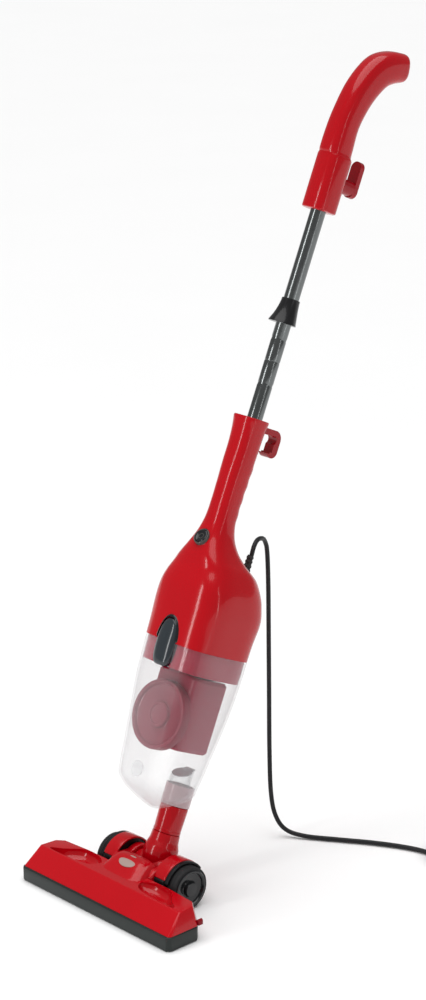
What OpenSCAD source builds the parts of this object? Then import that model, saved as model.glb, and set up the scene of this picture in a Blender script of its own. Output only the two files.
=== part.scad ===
// Corded upright stick vacuum cleaner: floor head, tilting neck, clear dust bin,
// motor body, chromed wand and hooked handle. Millimetres, +Z up.
// The floor is z = 0, the front of the floor head is y = 0 and x = 0 is the middle.
// The stick has a frame of its own: its z runs up the wand's axis, its y points to the back.

/* [Stance] */
// Lean of the stick behind the vertical, degrees
lean = 24; // [12:1:36]
// Height of the neck's pivot above the floor
neck_z = 28; // [27:0.5:32]
// Distance of the neck's pivot behind the front of the head
neck_y = 105; // [103:1:112]
// Distance from the neck pipe's axis forward to the wand's axis
pipe_offset = 67; // [62:1:70]

/* [Floor head] */
// Width of the floor head
head_w = 278; // [230:2:330]
// Depth of the head at its ends
head_d = 56; // [52:1:62]
// Height of the bumper strip at the front
bumper_h = 18.5; // [14:0.5:22]
// Wall of the bumper strip
bumper_t = 4; // [3:0.5:6]
// Height of the red shell's top
head_h = 42; // [38:1:48]
// Wall of the red shell
head_wall = 2.5; // [2:0.25:3.5]
// Distance from the head's end to the suction slot's end
slot_end = 44; // [39:1:64]
// Width of the suction slot
slot_w = 15; // [10:1:18]
// Thickness of the sole plate
sole_t = 4; // [3:0.5:5]

/* [Wheels] */
// Radius of a wheel over its tyre
wheel_r = 28; // [24:0.5:28]
// Width of a wheel
wheel_w = 16; // [12:1:20]
// Distance of the wheels' axle behind the front of the head
wheel_y = 98; // [96:1:102]
// Radius of a wheel's axle
axle_r = 4; // [3:0.25:6]
// Radial thickness of a tyre
tyre_t = 3.5; // [2:0.5:6]

/* [Neck] */
// Outer radius of the neck pipe
pipe_r = 17.5; // [16:0.25:18.5]
// Wall of the neck pipe
pipe_wall = 2; // [1.5:0.25:3]
// Outer radius of the elbow's collar
collar_r = 22; // [21.5:0.25:24]
// Outer radius of the elbow's cross barrel
barrel_r = 20; // [18:0.25:21]
// Length of the elbow's cross barrel
barrel_len = 52; // [48:1:56]
// Radius of the elbow's trunnions
trunnion_r = 8; // [6:0.5:11]
// Height of the collar's top above the pivot
collar_top = 48; // [44:1:52]
// Height of the pipe's shoulder above the pivot
pipe_top = 84; // [80:1:88]
// Length of the pipe's spigot inside the bin's inlet
spigot_len = 14; // [10:1:20]

/* [Dust bin] */
// Height of the bin's top rim above the pivot
rim_z = 284; // [282:1:290]
// Wall of the clear bin
bin_wall = 2.2; // [1.5:0.1:3]
// Height of the inlet duct's mouth above the pivot
duct_top = 132; // [124:1:134]

/* [Filter] */
// Radius of the round front of the filter
disc_r = 44; // [38:0.5:44.5]
// Height of the middle of the round front above the pivot
disc_z = 193; // [190:1:200]
// Half width of the filter's box
cage_x = 35; // [30:0.5:37]
// Number of pleats in the filter element
pleats = 12; // [8:1:14]

/* [Motor body] */
// Wall of the body's shells
body_wall = 2.4; // [1.8:0.1:3]
// Depth of the skirt inside the bin
skirt_d = 30; // [24:1:34]
// Radius of the motor's can
motor_r = 33; // [28:0.5:34]
// Length of the motor's can
motor_len = 52; // [44:1:53]
// Radius of the motor's shaft
shaft_r = 4; // [3:0.25:5]
// Radius of the power button
button_r = 9; // [7:0.25:9.5]
// Travel of the power button
button_travel = 2.5; // [1.5:0.25:3]
// Half width of the bin's latch
latch_x = 15; // [12:0.5:16]
// Height of the bin's latch
latch_len = 60; // [52:1:62]
// Travel of the bin's latch
latch_travel = 3; // [2:0.25:3.5]

/* [Wand] */
// Outer radius of the wand's tube
wand_r = 9.8; // [8.5:0.1:10.5]
// Wall of the wand's tube
wand_wall = 1; // [0.6:0.1:1.5]
// Height where the wand leaves the body
body_top = 576; // [570:1:582]
// Depth of the wand inside the body
wand_in = 70; // [50:1:72]
// Height of the handle's lower edge
handle_z = 844; // [800:2:900]
// Depth of the wand inside the handle
wand_up = 56; // [40:1:60]
// Height of the cord clip over the middle of the open wand
clip_up = 4; // [-20:1:30]

/* [Cord] */
// Diameter of the cord
cord_d = 6; // [5:0.25:8]

/* [Hidden] */
$fn = 64;
// Running clearance on the radius of a shaft or sleeve
fit = 0.05;
// Clearance between pieces that are fastened together
seat = 0.2;
// Clearance between pieces that move past each other
clear = 0.5;
// Facets round a moulded shell
ring_n = 48;
// A length longer than any piece
far = 400;
// Length of the suction slot
slot_len = head_w - 2 * slot_end;
// Height of the clip's middle
clip_z = (body_top + handle_z) / 2 + clip_up;

// The stick's frame: the wand's axis, with z = 0 at the neck's pivot
module stick() {
    translate([0, neck_y, neck_z])
        rotate([-lean, 0, 0])
            translate([0, -pipe_offset, 0])
                children();
}

// ---- shared shapes ----

function sgn(x) = x < 0 ? -1 : 1;

// Value of column k of a table at height z, eased between its rows
function raw(table, z, k) = lookup(z, [for (row = table) [row[0], row[k]]]);
function eased(table, z, k, d = 5) =
    (raw(table, z - d, k) + 2 * raw(table, z, k) + raw(table, z + d, k)) / 4;

// Point i of a rounded square: |x/a|^p + |y/b|^p = 1
function corner(i, a, b, p) = let (t = 360 * (i + 0.5) / ring_n)
    [a * sgn(cos(t)) * pow(abs(cos(t)), 2 / p), b * sgn(sin(t)) * pow(abs(sin(t)), 2 / p)];

// Ring of the body's or the bin's section between front y0 and rear y1, shrunk by a wall
function section(z, y0, y1, a, p, wall = 0) = [for (i = [0:ring_n - 1])
    let (q = corner(i, a - wall, (y1 - y0) / 2 - wall, p)) [q[0], (y0 + y1) / 2 + q[1], z]];

// Solid through a stack of rings, closed at both ends
module loft(rings) {
    n = len(rings[0]);
    m = len(rings);
    sides = [for (j = [0:m - 2], i = [0:n - 1]) each [
        [j * n + i, (j + 1) * n + i, (j + 1) * n + (i + 1) % n],
        [j * n + i, (j + 1) * n + (i + 1) % n, j * n + (i + 1) % n]]];
    base = [for (i = [0:n - 1]) i];
    lid = [for (i = [n - 1:-1:0]) (m - 1) * n + i];
    polyhedron([for (r = rings) each r], concat(sides, [base, lid]), convexity = 6);
}

// Cylinder along +x from x0 to x1 at (y, z)
module bar_x(x0, x1, y, z, r) {
    translate([x0, y, z])
        rotate([0, 90, 0])
            cylinder(r = r, h = x1 - x0);
}

// The same on side s, from x0 out to x1
module side_x(s, x0, x1, y, z, r) {
    bar_x(s > 0 ? x0 : -x1, s > 0 ? x1 : -x0, y, z, r);
}

// Cylinder along +y from y0 to y1 at (x, z)
module bar_y(y0, y1, x, z, r) {
    translate([x, y0, z])
        rotate([-90, 0, 0])
            cylinder(r = r, h = y1 - y0);
}

// Ring of a tube
module tube(r1, r0, h) {
    difference() {
        cylinder(r = r1, h = h);
        translate([0, 0, -1])
            cylinder(r = r0, h = h + 2);
    }
}

// Outline with parallel long sides and round ends, length l along y
module stadium(l, r) {
    translate([0, r])
        circle(r);
    translate([0, l - r])
        circle(r);
    translate([-r, r])
        square([2 * r, l - 2 * r]);
}

// Countersunk screw along -z with its head at z = 0
module screw(r, l) {
    translate([0, 0, -l])
        cylinder(r = r, h = l);
    translate([0, 0, -2])
        cylinder(r = 1.9 * r, h = 2);
}

// ---- floor head ----

ridge_y = 27;
top_y = 62;
end_slope = 8;
hub_x = barrel_len / 2 + clear;
cheek_t = 12;
cheek_x = hub_x + cheek_t;
hub_r = barrel_r + clear + 3;
wheel_x = cheek_x + 19.5;
trunnion_len = 5.5;
fender_gap = 3;

tongue_x = 37;
tongue_top_x = 29;
tongue_y0 = 35;
tongue_y1 = 71;
tongue_z = 57;
tongue_y2 = neck_y - hub_r - 2;

// Raised tongue that climbs from the head's front to the neck, between y0 and y1
module tongue(y0, y1, inset, z0) {
    x = tongue_x - inset;
    intersection() {
        rotate([90, 0, 90])
            translate([0, 0, -x])
                linear_extrude(2 * x)
                    polygon([[tongue_y0 + inset, z0], [tongue_y0 + inset, head_h - inset - 1],
                             [tongue_y1 - 6, tongue_z - 1.6 - inset], [tongue_y1, tongue_z - inset],
                             [tongue_y2, tongue_z - inset], [tongue_y2, z0]]);
        rotate([90, 0, 0])
            translate([0, 0, -far / 2])
                linear_extrude(far)
                    polygon([[-x, 0], [x, 0], [x, head_h], [tongue_top_x - inset, tongue_z + 1],
                             [inset - tongue_top_x, tongue_z + 1], [-x, head_h]]);
        translate([-x, y0, 0])
            cube([2 * x, y1 - y0, far]);
    }
}

// Section of the head along y, drawn at a wall's thickness inside its outer face
module head_profile(inset) {
    k = inset * 1.4;
    polygon([[3 + k, bumper_h], [ridge_y + inset * 0.4, head_h - inset],
             [top_y - inset, head_h + 1 - inset], [top_y - inset, head_h - 10],
             [head_d - inset, bumper_h]]);
}

// Plan of the head: straight front, rounded corners, rear edge swept in to the ends
module head_plan(inset) {
    r = 9;
    w = head_w / 2 - inset;
    translate([-w + r, inset + r])
        circle(r);
    translate([w - r, inset + r])
        circle(r);
    translate([-w + r, inset])
        square([2 * w - 2 * r, head_d - 2 * inset]);
    translate([-w, inset + r])
        square([2 * w, head_d - 2 * inset - 2 * r]);
    translate([-w + r, head_d - inset - r])
        circle(r);
    translate([w - r, head_d - inset - r])
        circle(r);
    polygon([[-w + r, head_d - inset], [w - r, head_d - inset], [w * 0.55, top_y - inset],
             [-w * 0.55, top_y - inset]]);
}

// Wedge-shaped body of the head, cut by its sloping ends
module head_block(inset) {
    w = head_w / 2 - inset;
    slope = atan(end_slope / (head_h - bumper_h));
    intersection() {
        rotate([90, 0, 90])
            translate([0, 0, -w])
                linear_extrude(2 * w)
                    head_profile(inset);
        translate([0, 0, bumper_h - 1])
            linear_extrude(head_h)
                head_plan(inset);
        rotate([90, 0, 0])
            translate([0, 0, -far / 2])
                linear_extrude(far)
                    polygon([[-w, 0], [w, 0], [w, bumper_h], [w - end_slope, head_h],
                             [w - end_slope - 5 * tan(slope), head_h + 5], [end_slope - w, head_h + 5],
                             [end_slope - w, head_h], [-w, bumper_h]]);
    }
}

duct_x = 22;
duct_z0 = 12;
duct_z1 = 36;
tongue_z0 = duct_z1 + 3 + seat;

// Red upper shell of the head, with the throat that leads back to the neck
module head_shell() {
    color("crimson")
        difference() {
            union() {
                difference() {
                    union() {
                        head_block(0);
                        tongue(tongue_y0, top_y, 0, head_h - 3);
                    }
                    translate([0, 0, -0.02])
                        head_block(head_wall);
                    tongue(tongue_y0, top_y - head_wall, head_wall, head_h - 5);
                }
                translate([-duct_x - head_wall, 40, bumper_h])
                    cube([2 * duct_x + 2 * head_wall, top_y - 40 - 1, duct_z1 + head_wall - bumper_h]);
            }
            translate([-duct_x, 35, bumper_h - 1])
                cube([2 * duct_x, 40, duct_z1 - bumper_h + 1]);
            screw_places()
                translate([0, 0, head_h - 16])
                    cylinder(r = 1.6, h = 10);
        }
}

// The four screws of the sole
module screw_places() {
    for (x = [-head_w / 2 + 22, head_w / 2 - 22], y = [14, head_d - 12])
        translate([x, y, 0])
            children();
}

// Dark strip round the head's lower edge, lower at the back of its ends
module bumper() {
    color("darkslategray")
        difference() {
            linear_extrude(bumper_h)
                head_plan(0);
            translate([0, 0, -1])
                linear_extrude(bumper_h + 2)
                    head_plan(bumper_t);
            translate([-duct_x - 4, head_d - 10, duct_z0 - 4])
                cube([2 * duct_x + 8, 30, bumper_h]);
        }
}

// Sole plate with the suction slot, glides and pockets for the lint strips
module sole_plate() {
    x = head_w / 2 - bumper_t - seat;
    color("dimgray")
        difference() {
            linear_extrude(sole_t)
                head_plan(bumper_t + seat);
            translate([-slot_len / 2, head_d / 2 - slot_w / 2 - 2, -1])
                cube([slot_len, slot_w, sole_t + 2]);
            for (y = strip_y)
                translate([-slot_len / 2, y, -1])
                    cube([slot_len, strip_w, 1 + strip_t]);
            screw_places()
                translate([0, 0, -1])
                    cylinder(r = 1.8, h = sole_t + 2);
            screw_places()
                translate([0, 0, -1])
                    cylinder(r = 3.6, h = 3.6);
        }
}

strip_w = 5;
strip_t = 2.2;
strip_y = [head_d / 2 - slot_w / 2 - 2 - 10, head_d / 2 + slot_w / 2 + 3];

// Two lint strips beside the slot
module lint_strip(k) {
    color("firebrick")
        translate([-slot_len / 2 + seat, strip_y[k] + seat, 0.4])
            cube([slot_len - 2 * seat, strip_w - 2 * seat, strip_t - 0.4 - seat / 2]);
}
module lint_strip_front() {
    lint_strip(0);
}
module lint_strip_rear() {
    lint_strip(1);
}

module sole_screws() {
    color("silver")
        screw_places()
            translate([0, 0, 0.4])
                rotate([180, 0, 0])
                    screw(1.4, head_h - 20);
}

// Channel between the sole and the shell that carries dust back to the neck
module throat() {
    color("dimgray")
        difference() {
            union() {
                translate([-duct_x - 3, head_d - 9, duct_z0 - 3])
                    cube([2 * duct_x + 6, neck_y - hub_r - head_d + 12, bumper_h - duct_z0 + 2.8]);
                translate([-duct_x - 3, top_y + seat, duct_z0 - 3])
                    cube([2 * duct_x + 6, neck_y - hub_r - top_y + 3, duct_z1 - duct_z0 + 6]);
            }
            translate([-duct_x, head_d - 12, duct_z0])
                cube([2 * duct_x, 60, duct_z1 - duct_z0]);
            bar_x(-far / 2, far / 2, neck_y, neck_z, hub_r + seat);
        }
}

// Yoke behind the head: two cheeks and a curved front wall round the elbow's barrel
module yoke() {
    color("red")
        difference() {
            union() {
                for (s = [-1, 1])
                    side_x(s, hub_x, cheek_x, neck_y, neck_z, hub_r);
                intersection() {
                    bar_x(-cheek_x, cheek_x, neck_y, neck_z, hub_r);
                    translate([-far / 2, neck_y - hub_r - 1, 0])
                        cube([far, hub_r - 9, far]);
                }
                for (s = [-1, 1])
                    translate([s > 0 ? hub_x : -cheek_x, top_y + seat, 9])
                        cube([cheek_t, neck_y - top_y - 12, tongue_z0 - 7]);
                difference() {
                    tongue(top_y + seat, tongue_y2, 0, tongue_z0);
                    tongue(top_y, tongue_y2 - head_wall, head_wall, tongue_z0 + 2);
                }
            }
            bar_x(-hub_x, hub_x, neck_y, neck_z, barrel_r + clear);
            bar_x(-hub_x - trunnion_len - 0.3, hub_x + trunnion_len + 0.3, neck_y, neck_z, trunnion_r + fit);
            for (s = [-1, 1])
                side_x(s, cheek_x - 4, cheek_x + 1, wheel_y, wheel_r, axle_r);
            translate([-duct_x, neck_y - hub_r - 2, duct_z0])
                cube([2 * duct_x, 20, duct_z1 - duct_z0]);
            translate([-collar_r - clear, neck_y - hub_r - 2, neck_z + 4])
                cube([2 * collar_r + 2 * clear, 2 * hub_r, far]);
            translate([-far / 2, 0, -far + 4])
                cube([far, far, far]);
        }
}

// Arched mudguard over a wheel, with the boss that carries the wheel's axle
module fender(s) {
    color("red")
        difference() {
            union() {
                intersection() {
                    side_x(s, cheek_x + seat, wheel_x + wheel_w / 2, wheel_y, wheel_r, wheel_r + fender_gap + 2.5);
                    translate([-far / 2, wheel_y - 24, wheel_r + 6])
                        cube([far, 56, far]);
                }
                side_x(s, cheek_x + seat, wheel_x - clear, wheel_y, wheel_r, axle_r + 5);
                fender_web(s, cheek_x + seat, 24);
            }
            difference() {
                side_x(s, cheek_x + 3.2, wheel_x + wheel_w + 1, wheel_y, wheel_r, wheel_r + fender_gap);
                side_x(s, cheek_x, wheel_x - clear, wheel_y, wheel_r, axle_r + 5);
                fender_web(s, cheek_x, 27);
            }
            side_x(s, cheek_x - 4, wheel_x + wheel_w, wheel_y, wheel_r, axle_r);
        }
}
// Upright web between the axle's boss and the arch
module fender_web(s, x, h) {
    translate([s > 0 ? x : -x - 6, wheel_y - 7, wheel_r])
        cube([6, 14, h]);
}
module fender_left() {
    fender(-1);
}
module fender_right() {
    fender(1);
}

// Steel axle of a wheel, with a head outside it
module axle(s) {
    color("silver") {
        side_x(s, cheek_x - 3.5, wheel_x + wheel_w + 0.4, wheel_y, wheel_r, axle_r - 0.02);
        side_x(s, wheel_x + wheel_w + 0.3, wheel_x + wheel_w + 1.5, wheel_y, wheel_r, axle_r + 2);
    }
}
module axle_left() {
    axle(-1);
}
module axle_right() {
    axle(1);
}

// Wheel with a dished outer face and a running bore
module wheel(s) {
    color("black")
        difference() {
            side_x(s, wheel_x, wheel_x + wheel_w, wheel_y, wheel_r, wheel_r - tyre_t);
            side_x(s, wheel_x - 1, wheel_x + wheel_w + 1, wheel_y, wheel_r, axle_r + fit);
            difference() {
                side_x(s, wheel_x + wheel_w - 2.5, wheel_x + wheel_w + 1, wheel_y, wheel_r, wheel_r - tyre_t - 3);
                side_x(s, wheel_x + wheel_w - 3, wheel_x + wheel_w + 2, wheel_y, wheel_r, axle_r + 5);
            }
        }
}
module wheel_left() {
    wheel(-1);
}
module wheel_right() {
    wheel(1);
}

// Soft tyre round a wheel
module tyre(s) {
    color("black")
        translate([s > 0 ? wheel_x + 1 : -wheel_x - 1, wheel_y, wheel_r])
            rotate([0, s * 90, 0])
                rotate_extrude($fn = 96)
                    polygon([[wheel_r - tyre_t, 0], [wheel_r - 1.5, 0], [wheel_r, 1.5],
                             [wheel_r, wheel_w - 3.5], [wheel_r - 1.5, wheel_w - 2], [wheel_r - tyre_t, wheel_w - 2]]);
}
module tyre_left() {
    tyre(-1);
}
module tyre_right() {
    tyre(1);
}

// ---- neck ----

swivel_r = pipe_r - 1.5;

// Elbow: hollow cross barrel on two trunnions, with a bulged collar up the pipe's axis
module neck_elbow() {
    color("red")
        difference() {
            union() {
                bar_x(-barrel_len / 2, barrel_len / 2, neck_y, neck_z, barrel_r);
                bar_x(-hub_x - trunnion_len, hub_x + trunnion_len, neck_y, neck_z, trunnion_r);
                stick()
                    translate([0, pipe_offset, 0]) {
                        cylinder(r1 = barrel_r - 1, r2 = collar_r, h = 18);
                        translate([0, 0, 18])
                            cylinder(r = collar_r, h = 10);
                        translate([0, 0, 28])
                            cylinder(r1 = collar_r, r2 = collar_r - 1.5, h = 8);
                        translate([0, 0, 36])
                            cylinder(r1 = collar_r - 1.5, r2 = pipe_r + 0.4, h = collar_top - 36);
                    }
            }
            bar_x(-barrel_len / 2 + 3, barrel_len / 2 - 3, neck_y, neck_z, barrel_r - 3);
            intersection() {
                translate([-duct_x + 3, neck_y - 30, duct_z0 + 2])
                    cube([2 * duct_x - 6, 30, duct_z1 - duct_z0 + 4]);
                bar_x(-far / 2, far / 2, neck_y, neck_z, barrel_r + 1);
            }
            stick()
                translate([0, pipe_offset, 0])
                    cylinder(r = swivel_r - 4, h = 60);
            stick()
                translate([0, pipe_offset, 18])
                    cylinder(r = swivel_r + fit, h = 60);
        }
}

// Pipe that swivels in the collar and plugs into the bin's inlet
module neck_pipe() {
    color("red")
        stick()
            translate([0, pipe_offset, 0])
                difference() {
                    union() {
                        translate([0, 0, 18.4])
                            cylinder(r = swivel_r, h = collar_top - 18);
                        translate([0, 0, collar_top + 0.4])
                            cylinder(r = pipe_r, h = pipe_top - collar_top - 0.4);
                        translate([0, 0, pipe_top - 1])
                            cylinder(r = swivel_r, h = spigot_len + 1);
                    }
                    cylinder(r = swivel_r - pipe_wall, h = 200);
                }
}

// ---- dust bin ----

// Bin's outer section: height, front, rear, half width
bin_rows = [[111, -19.5, 66, 43], [131, -21.5, 68.5, 45.2], [154, -23.5, 70.5, 47.2], [184, -26.5, 73.5, 50.2],
            [211, -29.5, 75.5, 52.6], [237, -32, 76.5, 54.4], [264, -33.5, 77, 55.2], [290, -35, 76.5, 55.2]];
bin_p = 3.8;
dome_z = 111;
dome_h = 36;

function bin_ring(z, wall) = section(z, eased(bin_rows, z, 1), eased(bin_rows, z, 2), eased(bin_rows, z, 3), bin_p, wall);

// Ring of the domed floor, u from 0 at the floor to 1 at the wall's foot
function dome_ring(u, wall) = let (
    g = 1 - 0.98 * pow(1 - u, 2.1),
    c = 23.25 + 7 * (1 - u))
    section(dome_z - dome_h * (1 - u) + wall * (1 - u), c - 42.75 * g, c + 42.75 * g, 43 * g, 2 + 1.8 * u, wall * min(1, 2 * g));

dome_steps = [0.1, 0.2, 0.32, 0.45, 0.6, 0.75, 0.88];

module bin_solid(wall, top) {
    loft(concat([for (u = dome_steps) dome_ring(u, wall)],
                [for (z = [dome_z : 14 : top - 8]) bin_ring(z, wall)], [bin_ring(top, wall)]));
}

latch_z0 = rim_z - 31;

// Clear tub with the inlet socket low at its back
module dust_bin() {
    color("lightgray", 0.4)
        stick()
            difference() {
                union() {
                    difference() {
                        bin_solid(0, rim_z);
                        bin_solid(bin_wall, rim_z + 0.5);
                    }
                    translate([0, pipe_offset, pipe_top + 0.4])
                        cylinder(r = pipe_r + 1, h = 26);
                }
                translate([0, pipe_offset, pipe_top - 4])
                    cylinder(r = swivel_r + fit, h = 60);
                translate([-latch_x - 1.5, -60, latch_z0 - 1.5])
                    cube([2 * latch_x + 3, 50, 100]);
            }
}

mouth_tilt = 25;
duct_r = 14;

// Place of the mouth's hinge, at the back of the duct's sloping top
module at_mouth() {
    translate([0, pipe_offset - 4 + duct_r, duct_top])
        rotate([mouth_tilt, 0, 0])
            children();
}

// Duct that lifts the dirt above the bin's floor, its mouth sloping to the front
module inlet_duct() {
    z0 = pipe_top + 26.4 + seat;
    color("gainsboro", 0.5)
        stick()
            difference() {
                translate([0, pipe_offset - 4, z0])
                    cylinder(r = duct_r, h = duct_top - z0 + 6);
                translate([0, pipe_offset - 4, z0 - 1])
                    cylinder(r = duct_r - 1.6, h = 60);
                at_mouth()
                    translate([-50, -100, 0])
                        cube([100, 140, 50]);
            }
}

// Rubber flap that closes the duct's mouth
module inlet_flap() {
    color("dimgray")
        stick()
            at_mouth()
                translate([0, 0, 0.5]) {
                    translate([0, -duct_r / cos(mouth_tilt), 0])
                        cylinder(r = duct_r - 1, h = 1.4);
                    translate([-8, -8, 0])
                        cube([16, 7.6, 1.4]);
                    translate([-7, -1, 1])
                        rotate([0, 90, 0])
                            cylinder(r = 0.9, h = 14);
                }
}

// ---- filter ----

cage_y0 = 1;
cage_y1 = 62;
cage_z0 = 157;
cage_z1 = 250;
cage_wall = 2;
intake_y = 31;
intake_r = 22;

// Filter's box, hollow, with an intake on top and windows in both sides
module filter_cage() {
    color("palevioletred", 0.7)
        stick()
            difference() {
                translate([-cage_x, cage_y0, cage_z0])
                    cube([2 * cage_x, cage_y1 - cage_y0, cage_z1 - cage_z0]);
                translate([-cage_x + cage_wall, cage_y0 + cage_wall, cage_z0 + cage_wall])
                    cube([2 * cage_x - 2 * cage_wall, cage_y1 - cage_y0 - 2 * cage_wall, cage_z1 - cage_z0 - 2 * cage_wall]);
                translate([0, intake_y, cage_z1 - 5])
                    cylinder(r = intake_r, h = 20);
                for (z = [cage_z0 + 14 : 12 : cage_z1 - 24], y = [cage_y0 + 10, cage_y0 + 34])
                    translate([-far / 2, y, z])
                        cube([far, 17, 6]);
            }
}

// Round front of the filter with a raised rim and a centre boss
module filter_disc() {
    color("indianred", 0.8)
        stick()
            difference() {
                union() {
                    bar_y(-11, -7, 0, disc_z, disc_r);
                    bar_y(-7.5, cage_y0 - seat, 0, disc_z, disc_r - 5);
                    bar_y(-12.5, -9, 0, disc_z, 15);
                }
                difference() {
                    bar_y(-14, -9.5, 0, disc_z, disc_r - 2);
                    bar_y(-15, -9, 0, disc_z, 17);
                }
                bar_y(-13.5, -11, 0, disc_z, 12);
            }
}

// Folded paper element inside the filter's box
module filter_element() {
    x = cage_x - cage_wall - 1;
    pitch = 2 * x / pleats;
    y0 = cage_y0 + cage_wall + 1;
    y1 = cage_y1 - cage_wall - 1;
    t = pitch * 1.6;
    color("whitesmoke")
        stick()
            translate([0, 0, cage_z0 + cage_wall + 0.5])
                linear_extrude(cage_z1 - cage_z0 - 2 * cage_wall - 12)
                    polygon(concat(
                        [for (i = [0:pleats]) [-x + i * pitch, i % 2 == 0 ? y0 + t : y1]],
                        [for (i = [pleats:-1:0]) [-x + i * pitch, i % 2 == 0 ? y0 : y1 - t]]));
}

// Rubber seal between the filter and the body
module filter_seal() {
    color("dimgray")
        stick()
            translate([0, intake_y, cage_z1 + seat])
                tube(intake_r + 4, intake_r + 0.5, 2.4);
}

// ---- motor body ----

// Body's outer section: height, front, rear, half width
body_rows = [[rim_z, -35, 76.5, 55.2], [306, -36, 77, 55.8], [334, -37.5, 78.5, 57.5], [353, -38, 74, 56],
             [367, -36.5, 69, 52.5], [382, -33.5, 60.5, 46.5], [390, -33, 51, 42.5], [398, -32.5, 39, 36.5],
             [410, -30, 26, 29], [424, -26.5, 17.5, 22.5], [438, -24, 13.5, 19], [450, -23, 12.3, 17.5],
             [470, -22.8, 12.2, 16.8], [495, -23, 12.8, 17], [515, -23.2, 13.2, 17.6], [540, -22.7, 13.6, 18],
             [560, -24, 14, 18.8], [body_top, -26, 15.5, 20.6]];
body_ps = [[rim_z, 3.8], [360, 3.6], [400, 3], [440, 2.6], [body_top, 2.8]];

function body_ring(z, wall) = section(z, eased(body_rows, z, 1), eased(body_rows, z, 2), eased(body_rows, z, 3), lookup(z, body_ps), wall);

body_z0 = rim_z + seat;
body_steps = concat([body_z0, 292, 302, 312, 322, 332, 341, 349], [for (z = [356 : 6 : 452]) z],
                    [for (z = [466 : 14 : 550]) z], [556, 563, 569, body_top]);

module body_solid(wall, z0, z1) {
    loft(concat([body_ring(z0, wall)], [for (z = body_steps) if (z > z0 + 1 && z < z1 - 1) body_ring(z, wall)], [body_ring(z1, wall)]));
}

// Direction of the power button: out of the front, tipped up
button_tip = 25;
button_z = 418;
button_y = -27;
module at_button() {
    translate([0, button_y, button_z])
        rotate([90 - button_tip, 0, 0])
            children();
}

latch_y = -33.5;
latch_t = 7;

// Outline of the latch, in x and height: a tall oval with a flat foot
module latch_outline(grow) {
    intersection() {
        translate([latch_len - latch_x, latch_len * 0.42])
            circle(r = latch_len + grow, $fn = 128);
        translate([latch_x - latch_len, latch_len * 0.42])
            circle(r = latch_len + grow, $fn = 128);
        translate([-latch_x - grow, -grow])
            square([2 * (latch_x + grow), latch_len + 2 * grow]);
    }
}
module latch_block(y0, y1, grow) {
    translate([0, y1, latch_z0])
        rotate([90, 0, 0])
            linear_extrude(y1 - y0)
                latch_outline(grow);
}

// Both shells together, hollow, with the holes for the button, latch, wand and cord
module body_shells() {
    difference() {
        body_solid(0, body_z0, body_top);
        difference() {
            body_solid(body_wall, body_z0 - 1, body_top - body_wall);
            at_button()
                translate([0, 0, -9])
                    cylinder(r = button_r + 3.5, h = 20);
        }
        translate([0, 0, body_top - 20])
            cylinder(r = wand_r + 0.3, h = 40);
        translate([0, 0, guide_z - seat])
            cylinder(r = guide_r + seat, h = wand_in + 4 + seat);
        translate([-hook_w / 2 - seat, hook_root, 562 - seat])
            cube([hook_w + 2 * seat, 20, 8 + 2 * seat]);
        at_button()
            translate([0, 0, -20])
                cylinder(r = button_r + 2 + seat, h = 60);
        latch_block(-60, -20, 2.6);
        translate([0, cord_y, 340])
            cylinder(r = relief_r + seat, h = 80);
        vents();
    }
}

// Rows of exhaust slots low on the back of the rear shell
module vents() {
    for (z = [296 : 8 : 336])
        translate([22, 60, z])
            rotate([-90, 0, 0])
                linear_extrude(40)
                    rotate(90)
                        stadium(44, 1.7);
}

cord_y = 66;
relief_r = 6.5;

module body_front() {
    color("red")
        stick()
            intersection() {
                body_shells();
                translate([-far / 2, -far, 0])
                    cube([far, far - seat / 2, 2 * far]);
            }
}
module body_rear() {
    color("red")
        stick()
            intersection() {
                body_shells();
                translate([-far / 2, seat / 2, 0])
                    cube([far, far, 2 * far]);
            }
}

// Floor of the body with the skirt that the bin's rim slides over, and the latch's cup
module body_base() {
    back = latch_y + latch_t + latch_travel + clear;
    color("darkred")
        stick()
            difference() {
                union() {
                    difference() {
                        loft([bin_ring(rim_z - skirt_d, bin_wall + clear), bin_ring(rim_z - skirt_d / 2, bin_wall + clear),
                              bin_ring(rim_z, bin_wall + clear), bin_ring(rim_z + 2, body_wall + clear),
                              body_ring(rim_z + 12, body_wall + clear)]);
                        loft([bin_ring(rim_z - skirt_d + 2, bin_wall + clear + 2), bin_ring(rim_z, bin_wall + clear + 2),
                              bin_ring(rim_z + 2, body_wall + clear + 3), body_ring(rim_z + 13, body_wall + clear + 3)]);
                    }
                    latch_block(-29.5, back + 1.3, 4.4);
                }
                translate([0, intake_y, rim_z - skirt_d - 1])
                    cylinder(r = intake_r - 2, h = 4);
                latch_block(-60, back, 2.8);
                translate([-far / 2, -60, 0])
                    cube([far, far, rim_z - skirt_d]);
            }
}

// Guard across the intake of the body's floor: ring with two crossed bars
module intake_guard() {
    color("darkred")
        stick()
            translate([0, intake_y, rim_z - skirt_d + 2 + seat]) {
                tube(intake_r + 2, intake_r - 3, 2);
                for (a = [0, 90])
                    rotate([0, 0, a])
                        translate([-intake_r + 1, -1, 0])
                            cube([2 * intake_r - 2, 2, 2]);
            }
}

// ---- motor ----

motor_y = 22;
fan_z0 = rim_z + 8;
fan_r = 40;
fan_h = 16;
motor_z0 = fan_z0 + fan_h + 4;

// Fan housing under the motor, open in the middle for the intake
module fan_housing() {
    color("gray")
        stick()
            translate([0, motor_y, fan_z0])
                difference() {
                    cylinder(r = fan_r + 3, h = fan_h + 3);
                    translate([0, 0, 2])
                        cylinder(r = fan_r + 1, h = fan_h - 1);
                    translate([0, 0, -1])
                        cylinder(r = 16, h = 5);
                    translate([0, 0, fan_h])
                        cylinder(r = shaft_r + 4, h = 10);
                    for (a = [0 : 45 : 315])
                        rotate([0, 0, a])
                            translate([motor_r - 10, -4, fan_h])
                                cube([7, 8, 6]);
                }
}

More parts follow.
